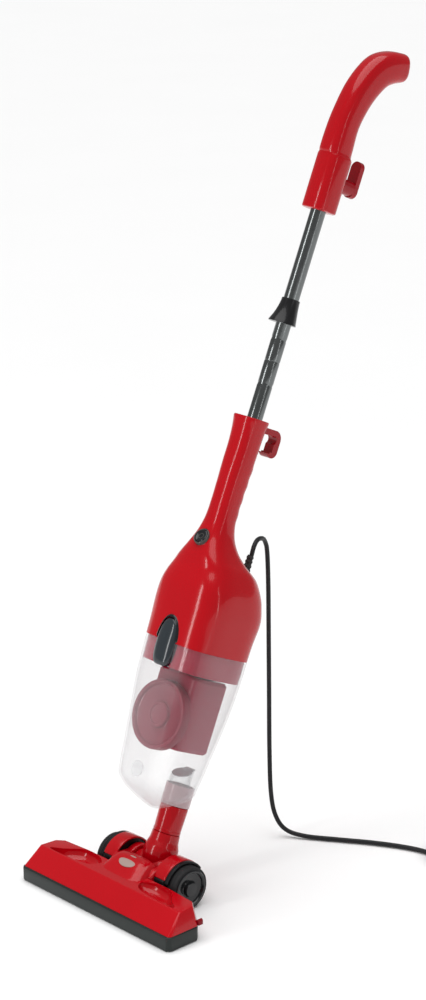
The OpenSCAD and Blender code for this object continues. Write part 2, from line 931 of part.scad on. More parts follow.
// Impeller and shaft, turning together
module rotor() {
    color("lightgray")
        stick()
            translate([0, motor_y, fan_z0]) {
                translate([0, 0, 3])
                    cylinder(r = shaft_r - fit, h = motor_len + fan_h + 8);
                translate([0, 0, 11])
                    cylinder(r = fan_r - 1, h = 1.5);
                for (a = [0 : 40 : 320])
                    rotate([0, 0, a])
                        translate([9, -0.8, 4.5])
                            cube([fan_r - 11, 1.6, 7]);
                translate([0, 0, 3.5])
                    cylinder(r = 8.5, h = 8);
                translate([0, 0, fan_h + 12])
                    cylinder(r = motor_r - 14, h = motor_len - 24);
            }
}

// Motor's can with a bearing at each end
module motor_can() {
    color("silver")
        stick()
            translate([0, motor_y, motor_z0])
                difference() {
                    cylinder(r = motor_r, h = motor_len);
                    translate([0, 0, 3])
                        cylinder(r = motor_r - 3, h = motor_len - 6);
                    translate([0, 0, -1])
                        cylinder(r = shaft_r, h = motor_len + 2);
                    for (a = [0 : 60 : 300])
                        rotate([0, 0, a])
                            translate([motor_r - 14, -5, -1])
                                cube([8, 10, motor_len + 2]);
                }
}

// Wound field round the armature
module motor_field() {
    color("peru")
        stick()
            translate([0, motor_y, motor_z0 + 7])
                tube(motor_r - 3 - seat, motor_r - 12, motor_len - 16);
}

// Rubber cap that holds the top of the motor
module motor_mount() {
    color("dimgray")
        stick()
            translate([0, motor_y, motor_z0 + motor_len - 9])
                difference() {
                    cylinder(r = motor_r + 2.2, h = 11);
                    translate([0, 0, -1])
                        cylinder(r = motor_r + seat, h = 10 + seat);
                    translate([0, 0, -1])
                        cylinder(r = motor_r - 8, h = 30);
                }
}

// ---- controls ----

// Light bezel round the power button
module button_bezel() {
    color("gainsboro")
        stick()
            at_button()
                translate([0, 0, -7])
                    difference() {
                        union() {
                            cylinder(r = button_r + 2, h = 10.8);
                            translate([0, 0, -2])
                                cylinder(r = button_r + 2, h = 3);
                        }
                        translate([0, 0, -3])
                            cylinder(r = button_r + 0.3, h = 20);
                    }
}

// Round power button with a shallow dish
module power_button() {
    color("darkslategray")
        stick()
            at_button()
                difference() {
                    translate([0, 0, -8])
                        cylinder(r = button_r, h = 12);
                    translate([0, 0, 42.6])
                        sphere(r = 40, $fn = 128);
                }
}

// Switch that the button works
module power_switch() {
    color("dimgray")
        stick()
            at_button() {
                translate([-6, -5, -19])
                    cube([12, 10, 7]);
                translate([0, 0, -12.5])
                    cylinder(r = 2.5, h = 1.5);
            }
}

// Dark latch that holds the bin
module bin_latch() {
    color("darkslategray")
        stick()
            difference() {
                latch_block(latch_y - 4, latch_y + latch_t, 0);
                bar_y(latch_y + latch_t - 4, latch_y + latch_t + 1, 0, spring_z, spring_r + clear);
                translate([0, latch_y - 4 + 78, latch_z0 + latch_len * 0.45])
                    difference() {
                        translate([-50, -120, -60])
                            cube([100, 90, 120]);
                        sphere(r = 78, $fn = 128);
                    }
            }
}

// Black frame round the latch
module latch_bezel() {
    color("black")
        stick()
            difference() {
                latch_block(latch_y - 0.5, latch_y + latch_t - 1, 2.4);
                latch_block(-60, 0, 0.6);
                translate([-50, -60, 0])
                    cube([100, 60, rim_z + 0.4]);
            }
}

// Spring behind the latch, between its pocket and the body's floor
spring_z = latch_z0 + 12;
spring_r = 3;
module latch_spring() {
    y0 = latch_y + latch_t - 4 + latch_travel + 0.3;
    y1 = latch_y + latch_t + latch_travel + clear - 0.05;
    color("silver")
        stick()
            translate([0, y0, spring_z])
                rotate([-90, 0, 0])
                    tube(spring_r, spring_r - 1, y1 - y0);
}

// ---- cord's outlet ----

// Ribbed strain relief that stands on the rear shoulder
module strain_relief() {
    color("black")
        stick()
            translate([0, cord_y, 370])
                difference() {
                    union() {
                        translate([0, 0, -17])
                            cylinder(r = relief_r, h = 27);
                        translate([0, 0, 9.5])
                            cylinder(r1 = relief_r - 0.6, r2 = cord_d / 2 + 1, h = 32.5);
                        for (z = [12 : 4 : 36])
                            translate([0, 0, z])
                                cylinder(r = relief_r - 0.3 - (z - 12) * 0.08, h = 2);
                    }
                    translate([0, 0, -18])
                        cylinder(r = cord_d / 2, h = 80);
                }
}

// ---- hooks ----

hook_w = 15;
hook_root = 11.4;

// Fixed hook on the back of the neck that the wound cord loops under
module lower_hook() {
    color("darkred")
        stick()
            translate([-hook_w / 2, 0, 0])
                rotate([90, 0, 90])
                    linear_extrude(hook_w)
                        difference() {
                            union() {
                                translate([hook_root + seat, 562])
                                    square([39 - hook_root, 8]);
                                translate([37, 558])
                                    circle(12);
                                translate([40, 544])
                                    square([9, 14]);
                                translate([40, 544])
                                    circle(9);
                            }
                            translate([36, 557])
                                circle(6);
                            translate([24, 540])
                                square([12, 22]);
                            translate([30, 542])
                                square([9.5, 14]);
                        }
}

// Swivelling hook on the back of the handle that the wound cord loops over
hook_z = handle_z + 40;
module upper_hook() {
    color("red")
        stick()
            difference() {
                union() {
                    bar_y(socket_b + 0.5, 43, 0, hook_z, 9.5);
                    translate([0, 49, hook_z - 11])
                        rotate([90, 0, 0])
                            linear_extrude(7)
                                stadium(47, 8.5);
                }
                bar_y(0, 46, 0, hook_z, 3 + fit);
                bar_y(45, 60, 0, hook_z, 5.4);
            }
}

// Shouldered pivot that holds the swivelling hook
module hook_pivot() {
    color("silver")
        stick() {
            bar_y(socket_b - 5, 45.6, 0, hook_z, 3);
            bar_y(45.5, 48, 0, hook_z, 5);
        }
}

// ---- wand ----

joint_z = 650;

// Dark sleeve inside the neck that guides the wand
guide_r = wand_r + 0.9;
guide_z = body_top - body_wall - wand_in - 4;
module wand_guide() {
    color("dimgray")
        stick()
            difference() {
                translate([0, 0, guide_z])
                    cylinder(r = guide_r, h = wand_in + 4 - seat);
                translate([0, 0, guide_z + 4])
                    cylinder(r = wand_r + fit, h = 200);
                translate([0, 0, guide_z - 1])
                    cylinder(r = wand_r - 3, h = 10);
            }
}

// Lower length of the wand, from the body to the joint
module wand_lower() {
    z0 = body_top - body_wall - wand_in + 0.2;
    color("silver")
        stick()
            translate([0, 0, z0])
                tube(wand_r, wand_r - wand_wall, joint_z - z0 - 0.1);
}

// Upper length of the wand, from the joint into the handle
module wand_upper() {
    color("silver")
        stick()
            difference() {
                translate([0, 0, joint_z + 0.1])
                    tube(wand_r, wand_r - wand_wall, handle_z + wand_up - joint_z);
                rotate([0, 0, -45])
                    bar_x(0, 30, 0, joint_z + 9, 2.2);
            }
}

// Inner sleeve that joins the two lengths, with its spring pip
module wand_joiner() {
    r = wand_r - wand_wall - fit;
    color("gray")
        stick() {
            translate([0, 0, joint_z - 30])
                tube(r, r - 1.5, 60);
            rotate([0, 0, -45])
                bar_x(r - 1, wand_r - 0.3, 0, joint_z + 9, 2);
        }
}

// Clip that slides on the wand: a split sleeve with a flared front and a thumb nub
module tube_clip() {
    h = 32;
    color("black")
        stick()
            translate([0, 0, clip_z - h / 2])
                difference() {
                    union() {
                        cylinder(r = wand_r + 2.6, h = h);
                        translate([0, -4, 0])
                            cylinder(r1 = wand_r + 8, r2 = wand_r + 1.5, h = h - 4);
                        translate([-4, wand_r, h / 2 - 6])
                            cube([8, 6, 12]);
                    }
                    translate([0, 0, -1])
                        cylinder(r = wand_r + fit, h = h + 2);
                    translate([-30, 6, -1])
                        cube([60, 30, h / 2 - 8]);
                    translate([0, 8, -1])
                        rotate([0, 0, -30])
                            cube([30, 2, h + 2]);
                }
}

// ---- handle ----

socket_a = 19.6;
socket_b = 19.8;

// Grip's centre line: height, set-back, lean of the section, half width, half depth
grip_rows = [[930, -2, 0, 17.5, 19.5], [952, -2, 4, 17, 18.6], [972, 1, 12, 17, 18.8], [996, 7.5, 23, 17.2, 20.2],
             [1017, 17.5, 36, 17.5, 21.2], [1033, 29.5, 49, 18, 21.4], [1043, 46, 62, 18, 20.6], [1048, 63, 78, 17, 18.6]];
grip_dz = handle_z - 844;

// Ring of the grip square to its centre line
function grip_ring(row, wall) = [for (i = [0:ring_n - 1])
    let (q = corner(i, row[3] - wall, row[4] - wall, 2.7))
    [q[0], row[1] + q[1] * cos(row[2]), row[0] + grip_dz - q[1] * sin(row[2])]];

// Rows between two rows of the centre line
function between(a, b, u) = [for (k = [0:4]) a[k] + (b[k] - a[k]) * u];
grip_all = [for (j = [0:len(grip_rows) - 2], u = [0, 0.5]) between(grip_rows[j], grip_rows[j + 1], u)];

function socket_ring(z, grow, wall) = section(z, -socket_b - grow, socket_b + grow, socket_a + grow, 2.9, wall);

// Rounded nose: the last section, shrunk towards its end
function nose_row(u, reach) = let (e = grip_rows[len(grip_rows) - 1], k = sqrt(1 - u * u))
    [e[0] + reach * u * cos(e[2]), e[1] + reach * u * sin(e[2]), e[2], e[3] * k, e[4] * k];

module handle_solid(wall) {
    loft(concat(
        [socket_ring(handle_z + wall, 0, wall), socket_ring(handle_z + 70, 0, wall), socket_ring(handle_z + 73, -0.6, wall),
         socket_ring(handle_z + 75, -1.9, wall)],
        [for (row = grip_all) grip_ring(row, wall)], [grip_ring(grip_rows[len(grip_rows) - 1], wall)],
        [for (u = [0.3, 0.55, 0.75, 0.88]) grip_ring(nose_row(u, 10 - wall), wall)]));
}

// Both halves of the handle: solid round the wand, hollow in the grip
module handle_halves() {
    difference() {
        handle_solid(0);
        difference() {
            handle_solid(3);
            translate([-50, -50, 0])
                cube([100, 100, handle_z + wand_up + 6]);
            for (z = grip_screws)
                bar_x(-40, 40, grip_screw_y, z, 5);
        }
        translate([0, 0, handle_z - 1])
            cylinder(r = wand_r + fit, h = wand_up + 2);
        bar_y(0, 60, 0, hook_z, 3);
        for (z = grip_screws)
            bar_x(-12, 40, grip_screw_y, z, 1.5);
        for (z = grip_screws)
            bar_x(12.2, 40, grip_screw_y, z, 3.2);
    }
}
grip_screws = [handle_z + 76, handle_z + 120];
grip_screw_y = 0;

module handle_left() {
    color("red")
        stick()
            intersection() {
                handle_halves();
                translate([-far, -far / 2, 0])
                    cube([far - seat / 2, far, 4 * far]);
            }
}
module handle_right() {
    color("red")
        stick()
            intersection() {
                handle_halves();
                translate([seat / 2, -far / 2, 0])
                    cube([far, far, 4 * far]);
            }
}

// Screws that hold the two halves of the handle
module handle_screws() {
    color("silver")
        stick()
            for (z = grip_screws)
                translate([14.5, grip_screw_y, z])
                    rotate([0, 90, 0])
                        screw(1.4, 22);
}

// ---- cord ----

// Route of the free cord from the strain relief to the coil on the floor
route = [[0, 271, 400], [0, 274, 407], [-2, 279, 414], [-7, 290, 419], [-13, 305, 416], [-17, 314, 407],
         [-18, 318, 393], [-18, 320, 350], [-18, 321, 280], [-17, 321, 200], [-16, 321, 120], [-14, 322, 60],
         [-8, 325, 28], [4, 332, 10], [26, 345, 4], [60, 368, 3.4], [98, 394, 3.4], [134, 414, 3.4],
         [165, 425, 3.4], [194, 424, 3.4]];
coil_at = [208, 464, 0];
coil_in = 27;
coil_out = 46;
coil_h = 36.4;
tail = [[251, 442, 3.4], [260, 453, 3.4], [270, 467, 4], [278, 481, 6], [283, 495, 8.6]];

function unit(v) = v / norm(v);
// Point on a smooth curve through the route: k counts along it
function spline(p, k) = let (
    n = len(p) - 1, i = min(floor(k), n - 1), u = k - i,
    a = p[max(i - 1, 0)], b = p[i], c = p[i + 1], d = p[min(i + 2, n)])
    0.5 * (2 * b + (c - a) * u + (2 * a - 5 * b + 4 * c - d) * u * u + (3 * b - a - 3 * c + d) * u * u * u);

// Tube swept along a route with n rings
module hose(p, n, r, sides = 10) {
    m = len(p) - 1;
    at = [for (j = [0:n]) spline(p, m * j / n)];
    dir = [for (j = [0:n]) unit(at[min(j + 1, n)] - at[max(j - 1, 0)])];
    x = [for (d = dir) unit(cross(d, [0.31, -0.2, 0.93]))];
    loft([for (j = [0:n]) [for (i = [0:sides - 1])
        at[j] + r * (cos(360 * i / sides) * x[j] + sin(360 * i / sides) * cross(dir[j], x[j]))]]);
}

module cord() {
    color("black")
        hose(route, 66, cord_d / 2);
}

// Coil of the remaining cord, lying on the floor
module cord_coil() {
    color("black")
        translate([coil_at[0], coil_at[1], 0.2])
            rotate_extrude()
                translate([coil_in, 0])
                    square([coil_out - coil_in, coil_h]);
}

module cord_tail() {
    color("black")
        hose(tail, 12, cord_d / 2);
}

// Moulded two-pin plug at the cord's end
module plug() {
    color("black")
        translate([283, 495, 0])
            rotate([0, 0, 67])
                difference() {
                    union() {
                        translate([2, -9, 1])
                            cube([9, 18, 15]);
                        translate([10, -14, 0.2])
                            cube([20, 28, 17]);
                        translate([0, 0, 8.6])
                            rotate([0, 90, 0])
                                cylinder(r = 5, h = 4);
                    }
                    translate([-2, 0, 8.6])
                        rotate([0, 90, 0])
                            cylinder(r = cord_d / 2, h = 8);
                }
}
module plug_pins() {
    color("silver")
        translate([283, 495, 8.6])
            rotate([0, 0, 67])
                for (y = [-6.5, 6.5])
                    translate([30.2, y, 0])
                        rotate([0, 90, 0])
                            cylinder(r = 2.4, h = 18);
}

head_shell();
bumper();
sole_plate();
lint_strip_front();
lint_strip_rear();
sole_screws();
throat();
yoke();
fender_left();
fender_right();
axle_left();
axle_right();
wheel_left();
wheel_right();
tyre_left();
tyre_right();
neck_elbow();
neck_pipe();
dust_bin();
inlet_duct();
inlet_flap();
filter_cage();
filter_disc();
filter_element();
filter_seal();
body_front();
body_rear();
body_base();
intake_guard();
fan_housing();
rotor();
motor_can();
motor_field();
motor_mount();
button_bezel();
power_button();
power_switch();
bin_latch();
latch_bezel();
latch_spring();
strain_relief();
lower_hook();
upper_hook();
hook_pivot();
wand_guide();
wand_lower();
wand_upper();
wand_joiner();
tube_clip();
handle_left();
handle_right();
handle_screws();
cord();
cord_coil();
cord_tail();
plug();
plug_pins();
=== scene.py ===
"""Corded upright stick vacuum cleaner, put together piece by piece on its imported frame.

Sizes are in millimetres in each section and become metres where a mesh is made.
"""
import math

import bmesh
import bpy
import numpy as np
from mathutils import Matrix


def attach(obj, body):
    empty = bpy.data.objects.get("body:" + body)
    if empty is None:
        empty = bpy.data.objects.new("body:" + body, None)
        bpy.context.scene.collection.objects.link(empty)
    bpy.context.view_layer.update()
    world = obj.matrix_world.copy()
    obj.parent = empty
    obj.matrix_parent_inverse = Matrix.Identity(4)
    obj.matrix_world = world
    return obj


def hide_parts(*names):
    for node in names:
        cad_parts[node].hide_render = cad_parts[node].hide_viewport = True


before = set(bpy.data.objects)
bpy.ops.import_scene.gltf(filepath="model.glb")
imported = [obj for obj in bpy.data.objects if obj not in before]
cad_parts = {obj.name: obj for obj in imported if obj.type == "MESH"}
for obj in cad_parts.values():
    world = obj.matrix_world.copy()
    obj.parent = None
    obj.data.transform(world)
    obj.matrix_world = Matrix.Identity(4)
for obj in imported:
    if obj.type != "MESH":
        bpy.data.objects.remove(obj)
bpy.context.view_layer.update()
MM = 0.001

# ---------------------------------------------------------------- camera
# A long lens at standing height, in front of the machine and to its right.

camera = bpy.data.objects.new("camera", bpy.data.cameras.new("camera"))
bpy.context.collection.objects.link(camera)
camera.data.lens = 94.208
camera.data.clip_end = 50.0
right = np.array([0.68414, 0.72934, -0.00419])
up = np.array([-0.22175, 0.21347, 0.95145])
back = np.cross(right, up)
turn = Matrix([[right[k], up[k], back[k]] for k in range(3)])
camera.matrix_world = Matrix.Translation((2.23117, -1.88, 1.48033)) @ turn.to_4x4()
bpy.context.scene.camera = camera

# ---------------------------------------------------------------- cord
# Round two-core mains lead, 6 mm over its black PVC sheath. It leaves the strain relief on the
# body's shoulder, bends over, drops behind the machine and ends in a wound coil beside it.


class Link:
    """A value in a material: wraps a node's output, and arithmetic on it adds Math nodes."""

    def __init__(self, tree, out):
        self.tree = tree
        self.out = out

    def add(self, kind, settings=None, inputs=None, out=0):
        """One more node: its settings are set first, then its inputs, by name or number."""
        node = self.tree.nodes.new(kind)
        for key, value in (settings or {}).items():
            if key == "stops":
                ramp = node.color_ramp.elements
                while len(ramp) < len(value):
                    ramp.new(0.5)
                for stop, (at, colour) in zip(ramp, value):
                    stop.position = at
                    stop.color = (*colour, 1.0)
            else:
                setattr(node, key, value)
        for key, value in (inputs or {}).items():
            if isinstance(value, Link):
                self.tree.links.new(value.out, node.inputs[key])
            else:
                node.inputs[key].default_value = value
        return Link(self.tree, node.outputs[out])

    def maths(self, operation, a, b=0.0):
        return self.add("ShaderNodeMath", {"operation": operation}, {0: a, 1: b})

    def __add__(self, other):
        return self.maths("ADD", self, other)

    def __radd__(self, other):
        return self.maths("ADD", other, self)

    def __sub__(self, other):
        return self.maths("SUBTRACT", self, other)

    def __rsub__(self, other):
        return self.maths("SUBTRACT", other, self)

    def __mul__(self, other):
        return self.maths("MULTIPLY", self, other)

    def __rmul__(self, other):
        return self.maths("MULTIPLY", other, self)

    def __truediv__(self, other):
        return self.maths("DIVIDE", self, other)

    def __pow__(self, other):
        return self.maths("POWER", self, other)

    def __gt__(self, other):
        return self.maths("GREATER_THAN", self, other)

    def __lt__(self, other):
        return self.maths("LESS_THAN", self, other)

    def waved(self):
        return self.maths("SINE", self)

    def size(self):
        return self.maths("ABSOLUTE", self)

    def held(self):
        """The value kept between 0 and 1."""
        return self.add("ShaderNodeClamp", None, {"Value": self})

    def tint(self, low, high):
        """Colour between low and high by this value."""
        return self.add("ShaderNodeMix", {"data_type": "RGBA"}, {0: self, 6: (*low, 1.0), 7: (*high, 1.0)},
                        2)


def finish_of(name, **fixed):
    """New material: returns it, its shader node, and a Link at the object's own coordinates."""
    stuff = bpy.data.materials.new(name)
    stuff.use_nodes = True
    tree = stuff.node_tree
    shader = tree.nodes["Principled BSDF"]
    for key, value in fixed.items():
        shader.inputs[key.replace("_", " ")].default_value = value
    place = tree.nodes.new("ShaderNodeTexCoord")
    return stuff, shader, Link(tree, place.outputs["Object"])


def wire(shader, **values):
    """Joins links to a shader's sockets."""
    for key, value in values.items():
        value.tree.links.new(value.out, shader.inputs[key.replace("_", " ")])


def noise(place, scale, detail=3.0, rough=0.5):
    """Noise at a scale in grains per metre."""
    return place.add("ShaderNodeTexNoise", None,
                     {"Vector": place, "Scale": scale, "Detail": detail, "Roughness": rough})


def bumped(height, depth, strength=1.0):
    """Bump from a height of 0 to 1, depth in metres."""
    return height.add("ShaderNodeBump", None, {"Height": height, "Distance": depth, "Strength": strength})


def moulded(name, low, high, rough, grain=0.00001, grain_scale=900.0, coat=0.0, coat_rough=0.05,
            spread=0.08):
    """Moulded plastic or rubber.

    Colour drifts between two close tones, the sheen is uneven, and the skin has a fine grain.
    """
    stuff, shader, place = finish_of(name, Coat_Weight=coat, Coat_Roughness=coat_rough,
                                     Specular_IOR_Level=0.2)
    cloud = noise(place, 14.0, 4.0)
    fine = noise(place, grain_scale, 2.0)
    wire(shader, Base_Color=cloud.tint(low, high), Roughness=(rough - spread / 2) + cloud * spread,
         Normal=bumped(fine, grain))
    return stuff


LEAN = math.radians(24)


def stick(x, v, z):
    """Point of the stick's own frame, in mm, as metres: turned back by the lean about the neck."""
    x, v, z = np.broadcast_arrays(x, v, z)
    rear = v - 67.0
    return np.stack([x, 105 + rear * math.cos(LEAN) + z * math.sin(LEAN),
                     28 - rear * math.sin(LEAN) + z * math.cos(LEAN)], -1) * MM


def smooth(t):
    """Ease from 0 to 1: 3t^2 - 2t^3."""
    t = np.clip(t, 0, 1)
    return t * t * (3 - 2 * t)


def through(points, step):
    """Catmull-Rom curve through points, with about one sample per step of length."""
    p = np.vstack([2 * points[0] - points[1], points, 2 * points[-1] - points[-2]])
    pieces = []
    for k in range(len(points) - 1):
        n = max(2, int(np.linalg.norm(p[k + 2] - p[k + 1]) / step))
        t = np.linspace(0, 1, n, endpoint=False)[:, None]
        a, b, c, d = p[k:k + 4]
        pieces.append(0.5 * (2 * b + (c - a) * t + (2 * a - 5 * b + 4 * c - d) * t**2
                             + (3 * b - a - 3 * c + d) * t**3))
    return np.vstack(pieces + [points[-1:]])


route = np.array([[0, 271, 400], [0, 274, 407], [-2, 279, 414], [-7, 290, 419], [-13, 305, 416],
                  [-17, 314, 407],
                  [-18, 318, 393], [-18, 320, 350], [-18, 321, 280], [-17, 321, 200], [-16, 321, 120],
                  [-14, 322, 60],
                  [-8, 325, 28], [4, 332, 10], [26, 345, 4], [60, 368, 3.4], [98, 394, 3.4],
                  [134, 414, 3.4],
                  [165, 425, 3.4], [194, 424, 3.4]], float)
tail = np.array([[251, 442, 3.4], [260, 453, 3.4], [270, 467, 4], [278, 481, 6], [283, 495, 8.6]], float)
coil_centre = np.array([208.0, 464.0])
coil_start = math.radians(-109.3)
coil_out, coil_pitch, coil_columns, coil_layers = 42.0, 6.05, 3, 6
turns = coil_columns * coil_layers - 0.22


def wound(t):
    """Place on the coil after t turns: in and out through the columns, one layer up after each pass.

    Each turn keeps one radius and height, and moves to the next over its last fifth.
    """
    n = np.floor(t).astype(int)
    step = smooth((t - n - 0.8) / 0.2)
    column = np.arange(coil_columns)
    order = np.concatenate([column if k % 2 == 0 else column[::-1] for k in range(coil_layers)] + [[0]])
    layer = np.repeat(np.arange(coil_layers), coil_columns)
    layer = np.append(layer, coil_layers - 1)
    r = coil_out - coil_pitch * (order[n] * (1 - step) + order[n + 1] * step)
    z = 3.4 + coil_pitch * (layer[n] * (1 - step) + layer[n + 1] * step)
    return r, z


t = np.linspace(0, turns, int(turns * 28))[1:]
r, z = wound(t)
off = np.linspace(0, 1, 16)[1:-1]
angle = np.concatenate([coil_start + 2 * math.pi * t,
                        coil_start + 2 * math.pi * turns + math.radians(160) * off])
r = np.append(r, coil_out + 6.6 * smooth(off / 0.4))
z = np.append(z, z[-1] + (3.4 - z[-1]) * smooth((off - 0.3) / 0.7))
coil = np.stack([coil_centre[0] + r * np.cos(angle), coil_centre[1] + r * np.sin(angle), z], -1)
lead = np.vstack([through(route, 4.0), coil, through(tail, 4.0)]) * MM

cord_curve = bpy.data.curves.new("cord_sheath", "CURVE")
cord_curve.dimensions = "3D"
cord_curve.bevel_depth = 3.0 * MM
cord_curve.bevel_resolution = 4
cord_curve.use_fill_caps = True
spline = cord_curve.splines.new("POLY")
spline.points.add(len(lead) - 1)
spline.points.foreach_set("co", np.c_[lead, np.ones(len(lead))].ravel())
cord = bpy.data.objects.new("cord_sheath", cord_curve)
bpy.context.collection.objects.link(cord)
cord_curve.materials.append(moulded("cord_pvc", (0.012, 0.012, 0.013), (0.022, 0.022, 0.024), 0.42, 0.00004,
                                    700.0))
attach(cord, "motor_unit")
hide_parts("cord", "cord_coil", "cord_tail")


def mesh_piece(name, points, faces, body, stuff, sharp=35.0, tidy=True):
    """Mesh piece of a body: doubles merged, faces turned outwards, smooth but for sharp edges."""
    mesh = bpy.data.meshes.new(name)
    mesh.from_pydata(points, [], faces)
    if tidy:
        work = bmesh.new()
        work.from_mesh(mesh)
        bmesh.ops.remove_doubles(work, verts=work.verts, dist=2e-6)
        bmesh.ops.recalc_face_normals(work, faces=work.faces)
        work.to_mesh(mesh)
        work.free()
    mesh.polygons.foreach_set("use_smooth", np.ones(len(mesh.polygons), bool))
    mesh.set_sharp_from_angle(angle=math.radians(sharp))
    mesh.materials.append(stuff)
    made = bpy.data.objects.new(name, mesh)
    bpy.context.collection.objects.link(made)
    if body:
        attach(made, body)
    return made


def skin(name, grid, body, stuff, sharp=35.0, loop=False, shut=True):
    """Piece through a grid of points, rows of rings.

    loop joins the last ring to the first; shut closes the end rings at their middles.
    """
    if shut and not loop:
        ends = [np.broadcast_to(row.mean(0), row.shape) for row in (grid[0], grid[-1])]
        grid = np.concatenate([ends[:1], grid, ends[1:]])
    rows, cols = grid.shape[:2]
    i, j = np.meshgrid(np.arange(rows if loop else rows - 1), np.arange(cols), indexing="ij")
    here, there = i * cols, (i + 1) % rows * cols
    faces = np.stack([here + j, here + (j + 1) % cols, there + (j + 1) % cols, there + j],
                     -1).reshape(-1, 4)
    return mesh_piece(name, grid.reshape(-1, 3), faces.tolist(), body, stuff, sharp)


def superellipse(n, a, b, p):
    """n points of |x/a|^p + |y/b|^p = 1, as two arrays; a, b and p may be columns."""
    s = (np.arange(n) + 0.5) * 2 * math.pi / n
    c, d = np.cos(s), np.sin(s)
    return a * np.sign(c) * np.abs(c) ** (2 / p), b * np.sign(d) * np.abs(d) ** (2 / p)


# Two-pin plug: a moulded grip with finger flutes, tapering into the cord.
plug_turn = math.radians(67)
s = np.linspace(0, 1, 34)[:, None]
half_w = 4.0 + 10.0 * smooth(s * 2.4) - 1.3 * np.sin(s * 22) ** 2 * (s > 0.3) * (s < 0.8)
half_h = 4.0 + 4.3 * smooth(s * 2.0)
across, rise = superellipse(48, half_w, half_h, 2.6)
along = 0.5 + 29.0 * s + 0 * across
plug = skin("plug_grip", np.stack([283 + along * math.cos(plug_turn) - across * math.sin(plug_turn),
                                   495 + along * math.sin(plug_turn) + across * math.cos(plug_turn),
                                   8.6 + rise], -1) * MM, "motor_unit",
            moulded("rubber_black", (0.016, 0.016, 0.017), (0.028, 0.028, 0.03), 0.55, 0.00005, 1200.0))
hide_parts("plug")

# ---------------------------------------------------------------- floor and light
# Pale seamless floor under large soft lamps; neither is part of the machine.

floor_mesh = bpy.data.meshes.new("floor")
floor_mesh.from_pydata([(-30, -30, 0), (30, -30, 0), (30, 30, 0), (-30, 30, 0)], [], [(0, 1, 2, 3)])
floor = bpy.data.objects.new("floor", floor_mesh)
bpy.context.collection.objects.link(floor)
floor.location.z = -0.0004
paint, shader, place = finish_of("pale_floor", Roughness=0.6, Specular_IOR_Level=0.2)
wire(shader, Base_Color=noise(place, 3.0).tint((0.93, 0.93, 0.93), (0.95, 0.95, 0.95)))
floor_mesh.materials.append(paint)

world = bpy.data.worlds.new("studio")
bpy.context.scene.world = world
world.use_nodes = True
world.node_tree.nodes["Background"].inputs["Color"].default_value = (1, 1, 1, 1)
world.node_tree.nodes["Background"].inputs["Strength"].default_value = 0.3
bpy.context.scene.view_settings.view_transform = "Standard"


def lamp(name, power, size, spot, aim, size_y=None):
    """Area lamp at spot, turned to aim, in metres."""
    data = bpy.data.lights.new(name, "AREA")
    data.energy = power
    data.shape = "RECTANGLE"
    data.size = size
    data.size_y = size_y or size
    made = bpy.data.objects.new(name, data)
    bpy.context.collection.objects.link(made)
    front = (np.array(aim) - np.array(spot)) / np.linalg.norm(np.array(aim) - np.array(spot))
    side = np.cross(front, [0, 0, 1.0])
    side /= np.linalg.norm(side)
    top = np.cross(side, front)
    turn = Matrix([[side[k], top[k], -front[k]] for k in range(3)])
    made.matrix_world = Matrix.Translation(spot) @ turn.to_4x4()


lamp("left_softbox", 17, 0.32, (-0.5, -2.0, 1.1), (0, 0.2, 0.5), 1.9)
lamp("right_softbox", 3, 0.1, (2.3, 0.2, 0.9), (0, 0.2, 0.5), 1.8)
overhead = bpy.data.lights.new("overhead", "SUN")
overhead.energy = 2.45
overhead.angle = math.radians(70)
bpy.context.collection.objects.link(bpy.data.objects.new("overhead", overhead))

# ---------------------------------------------------------------- floor head
# Red moulded shell on a dark bumper strip. The shell's front slopes back to a crisp ridge, its
# flat top is scooped out on both sides of a middle tongue, and its ends lean in.

red_gloss = moulded("red_gloss", (0.43, 0.0, 0.004), (0.49, 0.0, 0.006), 0.2, 0.000006, 600.0, 0.35, 0.04,
                    0.06)
charcoal = moulded("charcoal", (0.012, 0.016, 0.015), (0.02, 0.025, 0.023), 0.3, 0.00001, 900.0, 0.15, 0.15)
bumper_h, head_h = 18.5, 42.0


def stack(name, rings, body, stuff, bevel=0.0, segments=3, sharp=35.0, turned=None):
    """Crisp solid through a few stacked polygons of equal count, its edges rounded by a bevel.

    turned carries the points into the row frame where they aren't in it.
    """
    rings = np.asarray(rings, float)
    rows, cols = rings.shape[:2]
    points = (turned(*rings.reshape(-1, 3).T) if turned else rings.reshape(-1, 3) * MM)
    i, j = np.meshgrid(np.arange(rows - 1), np.arange(cols), indexing="ij")
    faces = np.stack([i * cols + j, i * cols + (j + 1) % cols, (i + 1) * cols + (j + 1) % cols,
                      (i + 1) * cols + j], -1)
    faces = faces.reshape(-1, 4).tolist() + [list(range(cols))[::-1],
                                             list(range((rows - 1) * cols, rows * cols))]
    made = mesh_piece(name, points, faces, body, stuff, sharp)
    if bevel:
        edge = made.modifiers.new("edges", "BEVEL")
        edge.width, edge.segments = bevel * MM, segments
        edge.limit_method, edge.angle_limit = "ANGLE", math.radians(24)
        edge.harden_normals = False
        settle(made, sharp)
    return made


def settle(made, sharp=35.0):
    """Applies a piece's modifiers: its mesh becomes what they show."""
    shown = bpy.data.meshes.new_from_object(made.evaluated_get(bpy.context.evaluated_depsgraph_get()))
    made.modifiers.clear()
    made.data = shown
    shown.polygons.foreach_set("use_smooth", np.ones(len(shown.polygons), bool))
    shown.set_sharp_from_angle(angle=math.radians(sharp))


def carve(made, *cutters, how="DIFFERENCE", sharp=35.0):
    """Cuts shapes out of a piece, or joins them to it, and removes the cutters."""
    for cutter in cutters:
        knife = made.modifiers.new("cut", "BOOLEAN")
        knife.operation, knife.solver, knife.object = how, "EXACT", cutter
    settle(made, sharp)
    for cutter in cutters:
        bpy.data.objects.remove(cutter)


def both_ways(half):
    """Outline from its right half, front to back: the left half mirrored, to run round once."""
    half = np.asarray(half, float)
    return np.concatenate([half, half[::-1] * [-1, 1]])


